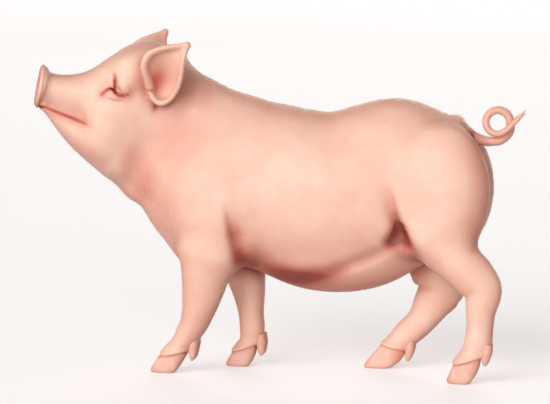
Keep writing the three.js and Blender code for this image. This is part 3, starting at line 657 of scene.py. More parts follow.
def lids(field, eye):
    """Adds lids to the field near an eye and opens the slit between them."""
    field = rounded_minimum(field, ellipsoid_distance(eye, LID_RADII), 14)
    flat = eye[:, [0, 2]]
    away, share = to_slit(eye)
    ends = np.clip(np.minimum(share, 1 - share) / 0.2, 0, 1)
    field = field + 2.2 * ends * bell(away, 3.2)
    field = field + fold(flat, HOOD_FOLD, 4.0, 3.6, 0.4) + fold(flat, LID_FOLD, 3.0, 3.4, 0.3)
    field = field + fold(flat, UNDER_FOLD, 1.1, 3.6, 0.4)
    for height, middle, reach in LID_BULGES:
        field = field - height * spot(flat, middle, reach)
    opening = away - 0.3 * np.clip(1 - ((share - 0.42) / 0.09) ** 2, -5, 1)
    pocket = np.maximum(opening, 5 - eye[:, 1])
    return rounded_maximum(field, -pocket, 1.2)


print("the slit is", SLIT[-1][0] - SLIT[0][0], "mm long over a ball of", 2 * EYE_RADIUS, "mm")

# %% [markdown]
# ## Ears
# A young pig's ears stand up and open to the side like a scoop. Each height has an arc for a section: its middle,
# half width, the angle it wraps round and the way it opens. A point's distance is taken to the arc at its own
# height. Rims are a little thicker than the blade, and the root widens into the head.

# %% Sections of the ear
EAR_ROWS = [  # u, v, n, half width, wrap, opens to, slant back down
    [266, 97, 25, 4, 90, 14, 0],
    [266, 93, 31, 16, 130, 14, 0],
    [268, 85, 42, 25, 160, 14, 0],
    [266, 89, 66, 35, 152, 14, 3],
    [259, 98, 93, 44, 132, 15, 7],
    [259, 108, 121, 41, 98, 15, 9],
    [269, 117, 142, 29, 78, 15, 10],
    [284, 124, 157, 14, 60, 15, 12],
    [298, 128, 169, 2, 40, 15, 14],
]
EAR_ROOT = (262, 83, 42)
EAR_LEAN = {-1: 0, 1: 12}  # degrees forwards about the root, left and right
EAR_SPLAY = {-1: 0, 1: 17}  # degrees outwards
EAR_TABLE = np.column_stack([np.arange(len(EAR_ROWS)), EAR_ROWS])
EAR_STEPS = np.linspace(0, len(EAR_ROWS) - 1, 141)
EAR_HEIGHTS = curve_through(EAR_TABLE, EAR_STEPS)[:, 2]


def ear_frame(head, side):
    """Head coordinates to an upright ear's, undoing its lean. Both sides share them."""
    root = np.array(EAR_ROOT) * (1, side, 1)
    lean = turning(ASIDE, -EAR_LEAN[side]) @ turning(ALONG, -side * EAR_SPLAY[side])
    return ((head - root) @ lean + root) * (1, side, 1)


def ear_section(step):
    """Middle (u, v), opening direction, half wrap and radius of the arcs at some steps up the ear."""
    u, v, _, width, wrap, opens, _ = curve_through(EAR_TABLE, step).T
    half = np.radians(wrap / 2)
    return u, v, np.radians(opens), half, width / np.sin(np.minimum(half, math.pi / 2))


def ear_place(local):
    """A point's step up the ear, and across the opening and inward from the arc's centre, at its own height."""
    height = local[:, 2]
    slant = np.radians([row[6] for row in EAR_ROWS])
    for _ in range(3):
        step = np.interp(height, EAR_HEIGHTS, EAR_STEPS)
        u, v, facing, half, radius = ear_section(step)
        across = (local[:, 0] - u) * np.cos(facing) + (local[:, 1] - v) * np.sin(facing)
        height = local[:, 2] + across * np.tan(np.interp(step, np.arange(len(slant)), slant))
    outward = (local[:, 1] - v) * np.cos(facing) - (local[:, 0] - u) * np.sin(facing)
    inward = radius * (1 + np.cos(half)) / 2 - outward
    return step, height, across, inward, half, radius


def ear_box(head, side):
    """Which points are near enough to an ear to matter."""
    low = np.array([195, 30, -30]) - MARGIN / 2
    high = np.array([345, 190, 215]) + MARGIN / 2
    return within(head * (1, side, 1), low, high)


print("the ear is", round(EAR_HEIGHTS[-1] - EAR_HEIGHTS[0]), "mm high, in", len(EAR_ROWS), "sections")

# %% Rims of the ear
RIM_PARTS = 25


def rim_line(edge, first, last, inset):
    """Points along an ear's rim, front (-1) or back (1), between two steps, set in from the edge."""
    step = np.linspace(first, last, RIM_PARTS + 1)
    u, v, facing, half, radius = ear_section(step)
    angle = edge * (half - inset / radius)
    across, inward = radius * np.sin(angle), radius * np.cos(angle)
    outward = radius * (1 + np.cos(half)) / 2 - inward
    row = curve_through(EAR_TABLE, step)
    n = row[:, 2] - across * np.tan(np.radians(row[:, 6]))
    x = u + across * np.cos(facing) - outward * np.sin(facing)
    y = v + across * np.sin(facing) + outward * np.cos(facing)
    return np.column_stack([x, y, n])


FRONT_RIM = rim_line(-1, 2.5, 7.9, 2.5)
BACK_RIM = np.concatenate([rim_line(-1, 1.9, 0.1, 2.0)[::5], rim_line(1, 0, 7.9, 2.5)])


print("points along the rims:", len(FRONT_RIM), "in front and", len(BACK_RIM), "behind")

# %% The ear's field
EAR_THICK = (6.4, 4.6)  # the blade at root and tip
EAR_NOTCH = 4.2  # depth of the crease below the front rim's folded end
NOTCH_STEP, STEP_HEIGHT = 2.15, 24  # steps up the ear, and millimetres to a step


def ear_parts(head, side):
    """For one ear: distances to its blade's middle, front rim, back rim and hollow, and how far outside its arcs.

    The front rim's distance comes with the share of its length, and the hollow's with the step up the ear.
    """
    local = ear_frame(head, side)
    step, height, across, inward, half, radius = ear_place(local)
    angle = np.arctan2(across, inward)
    from_centre = np.hypot(across, inward)
    past = np.hypot(np.abs(across) - radius * np.sin(half), inward - radius * np.cos(half))
    away = np.where(np.abs(angle) <= half, np.abs(from_centre - radius), past)
    beyond = np.maximum(height - EAR_HEIGHTS[-1], 0) + np.maximum(EAR_HEIGHTS[0] - height, 0)
    front, front_place = nearest_on_line(local, FRONT_RIM)
    back, _ = nearest_on_line(local, BACK_RIM)
    hollow = rounded_maximum(from_centre - radius + 3, radius * np.cos(half) - 3 - inward, 8)
    return np.hypot(away, beyond), front, front_place / RIM_PARTS, back, hollow, step, from_centre - radius


def ear(field, head, side):
    """Grows an ear out of the head: blade, thick rims and a hollow that runs down into the head."""
    blade, front, front_share, back, hollow, step, _ = ear_parts(head, side)
    share = step / (len(EAR_ROWS) - 1)
    blade = blade - (EAR_THICK[0] * (1 - share) + EAR_THICK[1] * share) / 2
    rim = front - np.interp(front_share, [0, 0.1, 0.3, 0.75, 1], [10.2, 9.4, 7.0, 5.2, 2.8])
    notch = EAR_NOTCH * bell((step - NOTCH_STEP) * STEP_HEIGHT, 2.6) * np.clip((16 - front) / 6, 0, 1)
    whole = rounded_minimum(blade, rim, 15) + notch
    whole = rounded_minimum(whole, back - (3.9 - 1.3 * share + 4.8 * bell(step, 1.3)), 12)
    field = rounded_maximum(field, -hollow, 8)
    return rounded_minimum(field, whole, 12)


print("blades from", EAR_THICK[0], "to", EAR_THICK[1], "mm thick")

# %% [markdown]
# ## Tail
# The tail leaves the rump, dips, and coils once before its tip flicks up. Its line is a few points, with the coil
# worked out as a spiral, and the flesh is a tube round that line that thins towards the tip.

# %% Tail
COIL_CENTRE = (532, 582)
COIL_RADIUS, COIL_START_RADIUS, COIL_START, COIL_END = 26.5, 42, -80, 305
share = np.linspace(0, 1, 11)
coil_angle = np.radians(COIL_START + (COIL_END - COIL_START) * share)
coil_radius = COIL_RADIUS + (COIL_START_RADIUS - COIL_RADIUS) * np.clip(1 - 4.6 * share, 0, 1)
coil = np.column_stack([
    COIL_CENTRE[0] + coil_radius * np.cos(coil_angle),
    7.5 - 23.5 * share,
    COIL_CENTRE[1] + coil_radius * np.sin(coil_angle),
    11 - 3 * share,
])
TAIL = [
    [434, 0, 571, 22],
    [462, 1, 553, 16.5],
    [493, 3, 541, 12.6],
    [518, 5, 537, 11.2],
    *coil.tolist(),
    [562, -17, 574, 7],
    [577, -18, 589, 6],
    [590, -18.5, 602, 3.4],
]
tail_line = tube_line(TAIL, 4)
TAIL_LENGTHS = tail_line[:40], tail_line[36:]
TAIL_FROM = 470  # x where the tail has left the rump


def tail_distance(points):
    """Distance to the tube round the tail's line: the less of two lengths', so strands that cross stay whole."""
    lengths = []
    for line in TAIL_LENGTHS:
        away, place = nearest_on_line(points, line)
        lengths.append(away - at_place(line, place)[:, 3])
    return np.minimum(*lengths)


tail_piece = piece(tail_distance, tail_line[:, :3].min(0) - 15, tail_line[:, :3].max(0) + 15, 16)
print("tail is", round(np.linalg.norm(np.diff(tail_line[:, :3], axis=0), axis=1).sum()), "mm long")

# %% [markdown]
# ## Feet
# The skin ends in a soft band, the coronet, where horn takes over. Each leg is cut by the plane of its coronet,
# and a cleft parts the two toes in front and behind. These places along each foot are also those of the hooves.

# %% Where skin ends
FEET = {  # the foot's y; x of toe, sole's end and heel; (x, z) of the coronet's ends and of the dewclaw's
    "fore_left": dict(
        y=-47, toe=-264, sole=-203, heel=-187, front=(-240, 38), rear=(-174, 46), dewclaw=((-154, 94), (-161, 29))
    ),
    "fore_right": dict(
        y=68, toe=-107, sole=-50, heel=-36, front=(-88, 33), rear=(-32, 50), dewclaw=((-18, 78), (-18, 26))
    ),
    "hind_left": dict(
        y=-92, toe=424, sole=478, heel=498, front=(443, 42), rear=(503, 57), dewclaw=((522, 90), (513, 42))
    ),
    "hind_right": dict(
        y=92, toe=213, sole=280, heel=307, front=(262, 56), rear=(316, 40), dewclaw=((332, 65), (323, 18))
    ),
}
SKIN_OVER_HORN = 1.5  # the skin's edge laps over the hoof


def foot_box(points, foot):
    """Which points are near a foot."""
    low = np.array([foot["toe"] - 30, foot["y"] - 60, -20])
    high = np.array([foot["rear"][0] + 70, foot["y"] + 60, foot["rear"][1] + 90])
    return within(points, low, high)


def below_coronet(points, foot):
    """Distance below the coronet's plane, in the foot's own direction."""
    run = np.array(foot["rear"], float) - foot["front"]
    run /= np.linalg.norm(run)
    return (points[:, 0] - foot["front"][0]) * run[1] - (points[:, 2] - foot["front"][1]) * run[0]


def end_foot(field, points, foot):
    """Swells the coronet, parts the toes and ends the skin at the coronet."""
    below = below_coronet(points, foot)
    aside = points[:, 1] - foot["y"]
    field = field - 1.6 * bell(below + 5, 5)
    cleft = bell(aside, 3.2) * bell(np.maximum(-below, 0), 16)
    middle = (foot["front"][0] + foot["rear"][0]) / 2
    field = field + 5.0 * cleft * np.clip(np.abs(points[:, 0] - middle) / 14 - 0.6, 0, 1)
    return rounded_maximum(field, below - SKIN_OVER_HORN, 3)


print("claws from", *[foot["heel"] - foot["toe"] for foot in FEET.values()], "mm long")

# %% [markdown]
# ## The whole field
# Now the masses come together: body, head and tail blend, ears grow from the head, then the disc, the nostrils,
# the lids, the mouth and the feet are worked in. Body folds lie at the flank, elbow and throat. The skin lies a
# little inside the solids, by the depth of the short coat.

# %% The skin's field
COAT_DEPTH = 0.8
THIGH_FRONT = [(296, 450), (302, 417), (308, 391), (317, 366), (328, 341), (344, 316), (362, 290), (384, 264)]
ELBOW_BACK = [(-66, 400), (-60, 368), (-55, 329), (-51, 298), (-54, 262)]
BELLY_FOLD = [(70, 226), (110, 231), (163, 243), (209, 261), (254, 280), (288, 298), (306, 318), (328, 346)]
BELLY_SHADE = [(-60, 290), (-44, 268), (1, 246), (44, 232), (91, 226), (150, 232), (209, 255)]  # painted shade: redder and darker skin along the lower belly
NECK_FOLD = [(-325, 455), (-296, 428), (-268, 402), (-232, 372)]
FLANK_APEX = [(330, 362), (318, 338), (300, 316), (284, 300)]
RIGHT_THIGH_FORWARD, RIGHT_ELBOW_BACK = 32, 46  # the right legs stand differently
HEAD_BOX = (-60, -200, -260), (460, 200, 260)
MUZZLE_BOX = (-20, -70, -110), (MOUTH_CORNER + 40, 70, 70)
TAIL_BOX = tail_piece["low"], tail_piece["high"]


def from_side(points):
    """Points as (x, z), and twice with the right side's slid: so that its thigh or its elbow lies on the left's."""
    flat = points[:, [0, 2]]
    right = (points[:, 1] > 0)[:, None]
    return flat, flat + right * (RIGHT_THIGH_FORWARD, 0), flat - right * (RIGHT_ELBOW_BACK, 0)


def body_folds(points):
    """Folds where legs meet the trunk and along the lower belly, drawn on its sides as (x, z)."""
    flat, by_thigh, by_elbow = from_side(points)
    thigh = fold(by_thigh, THIGH_FRONT, 14, 20, 0.6, left=10) + fold(by_thigh, FLANK_APEX, 8, 16, 0.5)
    thigh = thigh - fold(by_thigh - (24, 2), THIGH_FRONT, 5, 16, 0.6)
    elbow = fold(by_elbow, ELBOW_BACK, 12, 11, 0.5, left=24)
    belly = fold(flat, BELLY_FOLD, 7, 15, 0.5)
    neck = fold(flat, NECK_FOLD, 3, 15, 0.5)
    outer = np.clip((np.abs(points[:, 1]) - 30) / 30, 0, 1)
    return outer * (thigh + elbow + belly + neck)


def flesh(points):
    """About the distance to the skin, negative inside."""
    head = to_head(points)
    field = blended(body_pieces, points)
    near = within(head, *HEAD_BOX)
    inner = head[near]
    face = blended(head_pieces, inner)
    face = rounded_minimum(face, snout_disc(inner), DISC_BLEND)
    field[near] = rounded_minimum(field[near], face, HEAD_BLEND)
    for side in SIDES:
        here = ear_box(head, side)
        field[here] = ear(field[here], head[here], side)
    here = within(points, *TAIL_BOX)
    field[here] = rounded_minimum(field[here], tail_distance(points[here]), tail_piece["blend"])
    here = within(head, *MUZZLE_BOX)
    muzzle = head[here]
    groove = DISC_GROOVE * bell(muzzle[:, 0] - disc_back(muzzle[:, 2]) - 2, GROOVE_WIDTH)
    carved = field[here] + mouth(muzzle) + groove * (muzzle[:, 2] > MOUTH_HEIGHT)
    field[here] = rounded_maximum(carved, -nostrils(muzzle), 4)
    eye = to_eye(head)
    here = near_origin(eye, 45, 30, 48)
    field[here] = lids(field[here], eye[here])
    for foot in FEET.values():
        here = foot_box(points, foot)
        field[here] = end_foot(field[here], points[here], foot)
    return field + body_folds(points) + COAT_DEPTH


print("the middle of the trunk is", -flesh(np.array([[120.0, 0, 420]]))[0].round(), "mm deep in flesh")

# %% [markdown]
# ## From the field to a skin
# A field has no faces yet. Space is split into cubes, and each cube that the surface may cross is split again
# until it is as small as the place wants: 8 mm on the barrel, 4 mm on head and legs, 2 mm on ears, snout, tail
# and lids, and 1 mm along the slits of the eyes and at the tips of the ears. Each small cube gets one point, and
# each cube edge that crosses the surface joins the points of the cubes round it. As an edge is always that of the
# smallest cube beside it, large and small cubes meet without a seam.

# %% How fine the skin is where
TINY_CELL, FINE_CELL, HEAD_CELL, BODY_CELL, COARSEST = 1, 2, 4, 8, 64


def wanted_size(points):
    """The cube size wanted at each point, in millimetres."""
    head = to_head(points)
    size = np.full(len(points), BODY_CELL)
    size[points[:, 2] < 150] = HEAD_CELL
    size[(head[:, 0] < 300) & near_origin(head, 400, 150, 250)] = HEAD_CELL
    size[(head[:, 0] < 26) & near_origin(head, 60, 60, 70)] = FINE_CELL
    off, _ = to_mouth(head)
    size[(head[:, 0] < MOUTH_CORNER + 14) & (np.abs(off) < 9) & near_origin(head, 200, 90, 200)] = FINE_CELL
    eye = to_eye(head)
    size[near_origin(eye, 34, 30, 28)] = FINE_CELL
    size[(body_folds(points) > 1) & (size == BODY_CELL) & (points[:, 0] > -100)] = HEAD_CELL
    here = np.flatnonzero(near_origin(eye, 26, 26, 20))
    size[here[(to_slit(eye[here])[0] < 4) & (eye[here, 1] > 4)]] = TINY_CELL
    for side in SIDES:
        here = np.flatnonzero(ear_box(head, side))
        blade, front, _, back, _, step, _ = ear_parts(head[here], side)
        close = np.minimum(np.minimum(blade, front), back)
        size[here[close < 9]] = FINE_CELL
        size[here[(close < 5) & (step > 7.2)]] = TINY_CELL
    here = np.flatnonzero(within(points, *TAIL_BOX))
    size[here[(tail_distance(points[here]) < 6) & (points[here, 0] > TAIL_FROM)]] = FINE_CELL
    for foot in FEET.values():
        here = np.flatnonzero(foot_box(points, foot))
        size[here[np.abs(below_coronet(points[here], foot)) < 7]] = FINE_CELL
    return size


print("cubes wanted on the barrel and at the snout:", *wanted_size(np.array([[120.0, 0, 640], HEAD_ORIGIN])), "mm")

# %% [markdown]
# The mesher itself works on whole arrays. A cube is known by its lowest corner and its size, and is found again
# through a sorted list of keys, so that an edge can ask which cubes lie round it, whatever their sizes.

# %% Cubes
KEY = 4096  # more than the corners' range, in millimetres
CUBE = np.array([[i, j, k] for i in (0, 1) for j in (0, 1) for k in (0, 1)])
TETRA = np.array([[1, 1, 1], [1, -1, -1], [-1, 1, -1], [-1, -1, 1]]) / math.sqrt(3)


def keys(corners):
    """One whole number for each whole-number corner."""
    shifted = corners.astype(np.int64) + KEY // 2
    return (shifted[:, 0] * KEY + shifted[:, 1]) * KEY + shifted[:, 2]


def in_chunks(work, points, count=200_000):
    """work(points), done in chunks to keep memory small."""
    return np.concatenate([work(points[i : i + count]) for i in range(0, len(points), count)])


def small_cubes(field, low, high):
    """The cubes that the surface may cross, each as small as wanted_size says: {size: lowest corners}."""
    size = COARSEST
    axes = [np.arange(low[k], high[k], size) for k in range(3)]
    cubes = np.stack(np.meshgrid(*axes, indexing="ij"), -1).reshape(-1, 3)
    kept = {}
    while len(cubes):
        middle = cubes + size / 2
        reach = (3 if size > 16 else 1.7) * size  # the field isn't an exact distance
        cubes = cubes[np.abs(in_chunks(field, middle)) < reach]
        split = in_chunks(wanted_size, cubes + size / 2) < size
        kept[size] = cubes[~split]
        cubes = (cubes[split][:, None] + CUBE * (size // 2)).reshape(-1, 3)
        size //= 2
    return {size: corners for size, corners in kept.items() if len(corners)}


def crossed_edges(field, cubes, size):
    """Along each axis, the edges of cubes that cross the surface: where, the four cubes round each, and its sense.

    The field falls from positive to negative along an edge whose sense is true, so its face is turned round.
    """
    ends = (cubes[:, None] + CUBE * size).reshape(-1, 3)
    end_keys, at = np.unique(keys(ends), return_index=True)
    value = in_chunks(field, ends[at].astype(float))
    for axis in range(3):
        along, side_a, side_b = (np.eye(3, dtype=int)[(axis + k) % 3] * size for k in range(3))
        starts = np.concatenate([cubes + i * side_a + j * side_b for i in (0, 1) for j in (0, 1)])
        _, at = np.unique(keys(starts), return_index=True)
        starts = starts[at]
        here = value[np.searchsorted(end_keys, keys(starts))]
        there = value[np.searchsorted(end_keys, keys(starts + along))]
        crossed = (here < 0) != (there < 0)
        starts, here, there = starts[crossed], here[crossed], there[crossed]
        ring = [starts, starts - side_a, starts - side_a - side_b, starts - side_b]
        yield starts + (here / (here - there))[:, None] * along, ring, here >= 0


print("a cube has", len(CUBE), "corners, and a slope takes", len(TETRA), "samples")

# %% Points on the surface
def slope(field, points, reach=0.4):
    """The field's value and gradient, from four samples at the corners of a small tetrahedron."""
    samples = np.stack([in_chunks(field, points + reach * corner) for corner in TETRA], 1)
    return samples.mean(1), samples @ TETRA * (3 / (4 * reach))


def unit(vectors):
    """Vectors brought to length 1."""
    return vectors / (np.linalg.norm(vectors, axis=1)[:, None] + 1e-9)


def settled(field, points, size, rounds):
    """Moves points onto the surface along the gradient, by Newton's steps no longer than half a cube."""
    for _ in range(rounds):
        value, gradient = slope(field, points)
        steep = np.maximum((gradient**2).sum(1), 0.2)
        step = np.clip(value, -size / 2, size / 2) / steep
        points = points - step[:, None] * gradient
    return points


def gathered(numbers, rows, count):
    """Sums of rows that share a number, for numbers from 0 to count."""
    return np.stack([np.bincount(numbers, column, count) for column in rows.T], 1)


def neighbours_mean(rows, faces):
    """For each point, the mean of its neighbours' rows, each counted once for every triangle that both share."""
    ends = np.concatenate([faces[:, [0, 1]], faces[:, [1, 2]], faces[:, [2, 0]]])
    total = gathered(ends[:, ::-1].ravel(), rows[ends.ravel()], len(rows))
    return total / np.bincount(ends.ravel(), minlength=len(rows))[:, None]


def relaxed(field, points, faces, size, rounds):
    """Slides points along the surface towards the middle of their neighbours, so that faces are even."""
    for _ in range(rounds):
        pull = neighbours_mean(points, faces) - points
        gradient = unit(slope(field, points)[1])
        pull -= (pull * gradient).sum(1)[:, None] * gradient
        points = settled(field, points + 0.5 * pull, size, 1)
    return points


def unfolded(points, faces, rounds=10):
    """Draws points to the middle of their neighbours where a face lies folded over the faces round it."""
    for _ in range(rounds):
        a, b, c = (points[faces[:, k]] for k in range(3))
        across = np.cross(b - a, c - a)
        round_point = gathered(faces.ravel(), np.repeat(across, 3, axis=0), len(points))
        over = (across * round_point[faces].sum(1)).sum(1) < 0
        near = np.zeros(len(points), bool)
        near[faces[over]] = True
        near[faces[near[faces].any(1)]] = True
        points = np.where(near[:, None], neighbours_mean(points, faces), points)
    return points


print("the field's slope over the back:", slope(flesh, np.array([[120.0, 0, 640]]))[1][0].round(2))

# %% Triangles
def triangles(points, quads):
    """Quads cut along their shorter diagonals, without the triangles that have shrunk to a line."""
    a, b, c, d = quads.T
    short = np.linalg.norm(points[a] - points[c], axis=1) < np.linalg.norm(points[b] - points[d], axis=1)
    one = np.where(short, [a, b, c], [b, c, d]).T
    two = np.where(short, [a, c, d], [b, d, a]).T
    faces = np.concatenate([one, two])
    return faces[(faces[:, 0] != faces[:, 1]) & (faces[:, 1] != faces[:, 2]) & (faces[:, 2] != faces[:, 0])]


print("one square gives", len(triangles(CUBE[:4].astype(float), np.array([[0, 1, 3, 2]]))), "triangles")

# %% [markdown]
# With these, the mesh is put together: cubes, then faces from the crossed edges, then one point in each cube,
# first at the mean of its crossings and then settled and evened out. Last, the few places in tight creases where
# a face has folded over its neighbour are smoothed.

# %% The skin's mesh
def mesh_of(field, low, high):
    """Points and triangles of the field's surface, closed and facing out."""
    kept = small_cubes(field, low, high)
    sizes = sorted(kept)
    corners = np.concatenate([kept[size] for size in sizes])
    size_of = np.concatenate([np.full(len(kept[size]), size) for size in sizes])
    order, sorted_keys, first = {}, {}, 0
    for size in sizes:
        code = keys(kept[size])
        order[size] = first + np.argsort(code)
        sorted_keys[size] = np.sort(code)
        first += len(code)

    def cube_at(places, size):
        """The number of the cube that holds each place, of this size or larger, or -1."""
        found = np.full(len(places), -1)
        for wider in [s for s in sizes if s >= size]:
            code = keys(places // wider * wider)
            at = np.minimum(np.searchsorted(sorted_keys[wider], code), len(sorted_keys[wider]) - 1)
            hit = (sorted_keys[wider][at] == code) & (found < 0)
            found[hit] = order[wider][at[hit]]
        return found

    quads, crossings = [], []
    for size in sizes:
        for crossing, ring, turned in crossed_edges(field, kept[size], size):
            quad = np.stack([cube_at(places, size) for places in ring], 1)
            quad[turned] = quad[turned, ::-1]
            whole = (quad >= 0).all(1)
            quads.append(quad[whole])
            crossings.append(crossing[whole])
    quads, crossings = np.concatenate(quads), np.concatenate(crossings)

    weight = np.bincount(quads.ravel(), minlength=len(corners))
    used = np.flatnonzero(weight)
    total = gathered(quads.ravel(), np.repeat(crossings, 4, axis=0), len(corners))
    points = total[used] / weight[used, None]
    size = size_of[used].astype(float)
    number = np.full(len(corners), -1)
    number[used] = np.arange(len(used))
    points = settled(field, points, size, 3)
    faces = triangles(points, number[quads])
    return unfolded(relaxed(field, points, faces, size, 2), faces), faces


REGION = np.array([[-640, -256, 0], [640, 256, 896]])  # whole numbers of the coarsest cubes
skin_points, skin_faces = mesh_of(flesh, *REGION)
skin_normals = unit(slope(flesh, skin_points)[1])
print("skin:", len(skin_points), "points,", len(skin_faces), "faces,", round(time.time() - BEGAN, 1), "s so far")

# %% [markdown]
# ## Colour and painted shade by place
# Pink skin is redder where it is thin: inside the ears, round the nostrils, on the disc and on the lids. Shade is
# painted into the colour too: redder and darker in folds and creases, round the eyes, low on the belly, under the
# jaw, on the back's top and on the rear edges of rump and legs. So each point of the skin gets two numbers from the
# same shapes: how red it is, the skin's own redness and painted shade together, and fold, the painted shade of
# hollows by how deep the point lies. A hollow is found by asking the field how much flesh there is round a point
# just outside the skin, near by for creases and farther off for the pits of the legs.

# %% Hollows
def hollowness(points, normals, reach):
    """Mean of 1 - f / (r cos a), at distance r in seven directions at angles a to the normal: 1 in a deep fold."""
    aside = np.cross(normals, (0.3, 0.5, 0.8))
    aside /= np.linalg.norm(aside, axis=1)[:, None]
    other = np.cross(normals, aside)
    total = np.clip(1 - in_chunks(flesh, points + reach * normals) / reach, 0, 1)
    for turn in np.arange(6) * math.pi / 3:
        way = 0.6 * normals + 0.8 * (math.cos(turn) * aside + math.sin(turn) * other)
        total += np.clip(1 - in_chunks(flesh, points + reach * way) / (0.6 * reach), 0, 1)
    return total / 7


over_belly = hollowness(np.array([[120.0, -60, 200]]), np.array([[0, 0, -1.0]]), 38)
print("hollowness just below the belly:", over_belly[0].round(2))

# %% Redness and painted shade of the body
PAINTED_SHADE_PLACES = [  # painted shade at shoulder, breast and stifle: middle (x, z), reach and redness
    ((-188, 535), (82, 78), 0.42),
    ((-268, 440), (48, 78), 0.58),
    ((345, 224), (62, 50), 0.7),
]


def body_red_and_shade(points, normals, on_face):
    """Redness of body and tail, with painted shade as redness underneath, on breast, rump, legs' rear edges, back
    and folds.
    """
    x, _, z = points.T
    backward, _, upward = normals.T
    flat, by_thigh, _ = from_side(points)
    above = np.clip((z - 180) / 120, 0, 1)
    in_front = (x < -60) * (1 - on_face) * np.clip((620 - z) / 60, 0, 1)
    # Painted light and shade: the face is left paler as painted light, and redness is painted where shade falls;
    # under the belly and in the folds it is partly the skin's own redness.
    return np.maximum.reduce([
        0.1 * (1 - on_face) + 0.75 * np.clip(-upward - 0.15, 0, 1) * np.clip((440 - z) / 160, 0, 1),
        in_front * np.clip(-0.6 * backward - 0.4 * upward - 0.12, 0, 0.4),
        0.34 * ((tail_distance(points) < 8) & (x > 480)),
        above * np.clip(0.9 * backward - 0.2, 0, 0.6) * (x > 300),
        (1 - above) * np.clip(0.7 * backward - 0.2, 0, 0.4),
        0.42 * np.clip(upward * 2 - 1.2, 0, 1) * (z > 500),
        *[amount * spot(by_thigh, middle, reach) for middle, reach, amount in PAINTED_SHADE_PLACES],
        fold(by_thigh, THIGH_FRONT, 0.55, 30, 0.5, left=14),
        fold(by_thigh, FLANK_APEX, 0.5, 30, 0.3),
        fold(by_thigh, BELLY_FOLD, 0.4, 24, 0.4),
        fold(flat, BELLY_SHADE, 0.85, 40, 0.6),
        fold(flat, ELBOW_BACK, 0.45, 20, 0.5, left=40),
        fold(flat, NECK_FOLD, 0.28, 50, 0.5),
    ])


print(len(PAINTED_SHADE_PLACES), "warm places and six red folds")

# %% Redness and painted shade of face, eyes and ears
EAR_CANAL = (252, 84, 74)  # painted shade of the canal's hollow, the ear's reddest place


def face_red_and_shade(head, normals, on_face):
    """Redness of disc, nostrils and mouth, with painted shade under the jaw, in the disc's groove, round the mouth
    line and at the left temple and nape.
    """
    u, v, n = head.T
    backward, _, upward = (normals @ HEAD_AXES).T
    off, _ = to_mouth(head)
    at_disc = (u < DISC_BACK + 8) * (np.abs(v) < 60) * (np.abs(n) < 60)
    at_mouth = np.clip((MOUTH_CORNER + 26 - u) / 30, 0, 1) * (np.abs(v) < 100)
    return np.maximum.reduce([
        on_face * np.clip(-0.6 * upward - 0.05, 0, 0.32),
        0.72 * np.clip(-backward * 2 - 0.7, 0, 1) * at_disc,
        0.5 * bell(u - disc_back(n) - 2, 3) * at_disc * np.clip((20 - n) / 30, 0.2, 1),
        0.95 * np.clip(1 - nostrils(head) / 7, 0, 1) * (u < 30),
        at_mouth * np.maximum(0.95 * bell(off, 4.2), 0.5 * bell(off - 1, 18)),
        0.34 * spot(head, (226, -104, 66), (20, 40, 44)) + 0.34 * spot(head, (340, -80, 60), (60, 60, 70)),
    ])


def eye_red_and_shade(eye):
    """Painted shade as redness along the slit and the fold of the hood, at the corner of the eye and between them,
    partly the lids' own red.
    """
    side_on = eye[:, [0, 2]]
    near_slit, _ = to_slit(eye)
    hood = np.column_stack([HOOD_FOLD, np.zeros(len(HOOD_FOLD))])
    near_hood, _ = nearest_on_line(eye[:, [0, 2, 1]] * (1, 1, 0), hood)
    return np.maximum.reduce([
        bell(near_slit, 7),
        0.45 * bell(near_slit, 15),
        0.95 * bell(near_hood, 5),
        0.9 * spot(side_on, (16, 1), (13, 5)),
        0.62 * spot(side_on, (7, 12), (7, 10)),
    ])


def ear_red_and_shade(head, side):
    """Redness of the cup, with painted shade in the notch below the front rim and at the canal's hollow."""
    _, front, _, back, hollow, step, inside = ear_parts(head, side)
    cup = np.clip((8 - hollow) / 6, 0, 1) * np.clip(-inside / 2, 0, 1)
    cup *= np.clip((front - 8) / 5, 0, 1) * np.clip((back - 7) / 5, 0, 1) * np.clip((step - 1.2) / 0.9, 0.15, 1)
    to_canal = np.linalg.norm((ear_frame(head, side) - EAR_CANAL)[:, [0, 2]] / (1, 1.5), axis=1)
    notch = 0.6 * bell((step - NOTCH_STEP) * STEP_HEIGHT, 3.5) * (front < 14)
    return np.maximum(notch, cup * (0.18 + 0.75 * bell(to_canal, 19)))


print("the slit's middle blushes", eye_red_and_shade(np.array([[0.0, 14, 7]]))[0].round(2))

# %% Redness and painted shade by place
def smoothed(values, faces, rounds):
    """Each value averaged with its neighbours', over and over."""
    for _ in range(rounds):
        values = 0.4 * values + 0.6 * neighbours_mean(values[:, None], faces)[:, 0]
    return values


def red_and_shade_at(points, normals):
    """Redness and painted shade from 0 to 1, as the greatest of the red and shaded places."""
    head = to_head(points)
    on_face = np.clip((230 - head[:, 0]) / 60, 0, 1) * (np.abs(head[:, 2]) < 200)
    red = np.maximum(body_red_and_shade(points, normals, on_face), face_red_and_shade(head, normals, on_face))
    eye = to_eye(head)
    here = near_origin(eye, 46, 40, 46)
    red[here] = np.maximum(red[here], eye_red_and_shade(eye[here]))
    for side in SIDES:
        here = ear_box(head, side)
        red[here] = np.maximum(red[here], ear_red_and_shade(head[here], side))
    return np.clip(red, 0, 1)


skin_red_and_shade = smoothed(red_and_shade_at(skin_points, skin_normals), skin_faces, 1)
print("blush up to", round(float(skin_red_and_shade.max()), 2))

# %% Painted shade of hollows and creases
NEAR, FAR_OFF = 8, 38  # millimetres, the reaches at which hollows are looked for
DEEP_ELBOW = [(-58, 360), (-52, 298), (-50, 262), (-44, 236)]


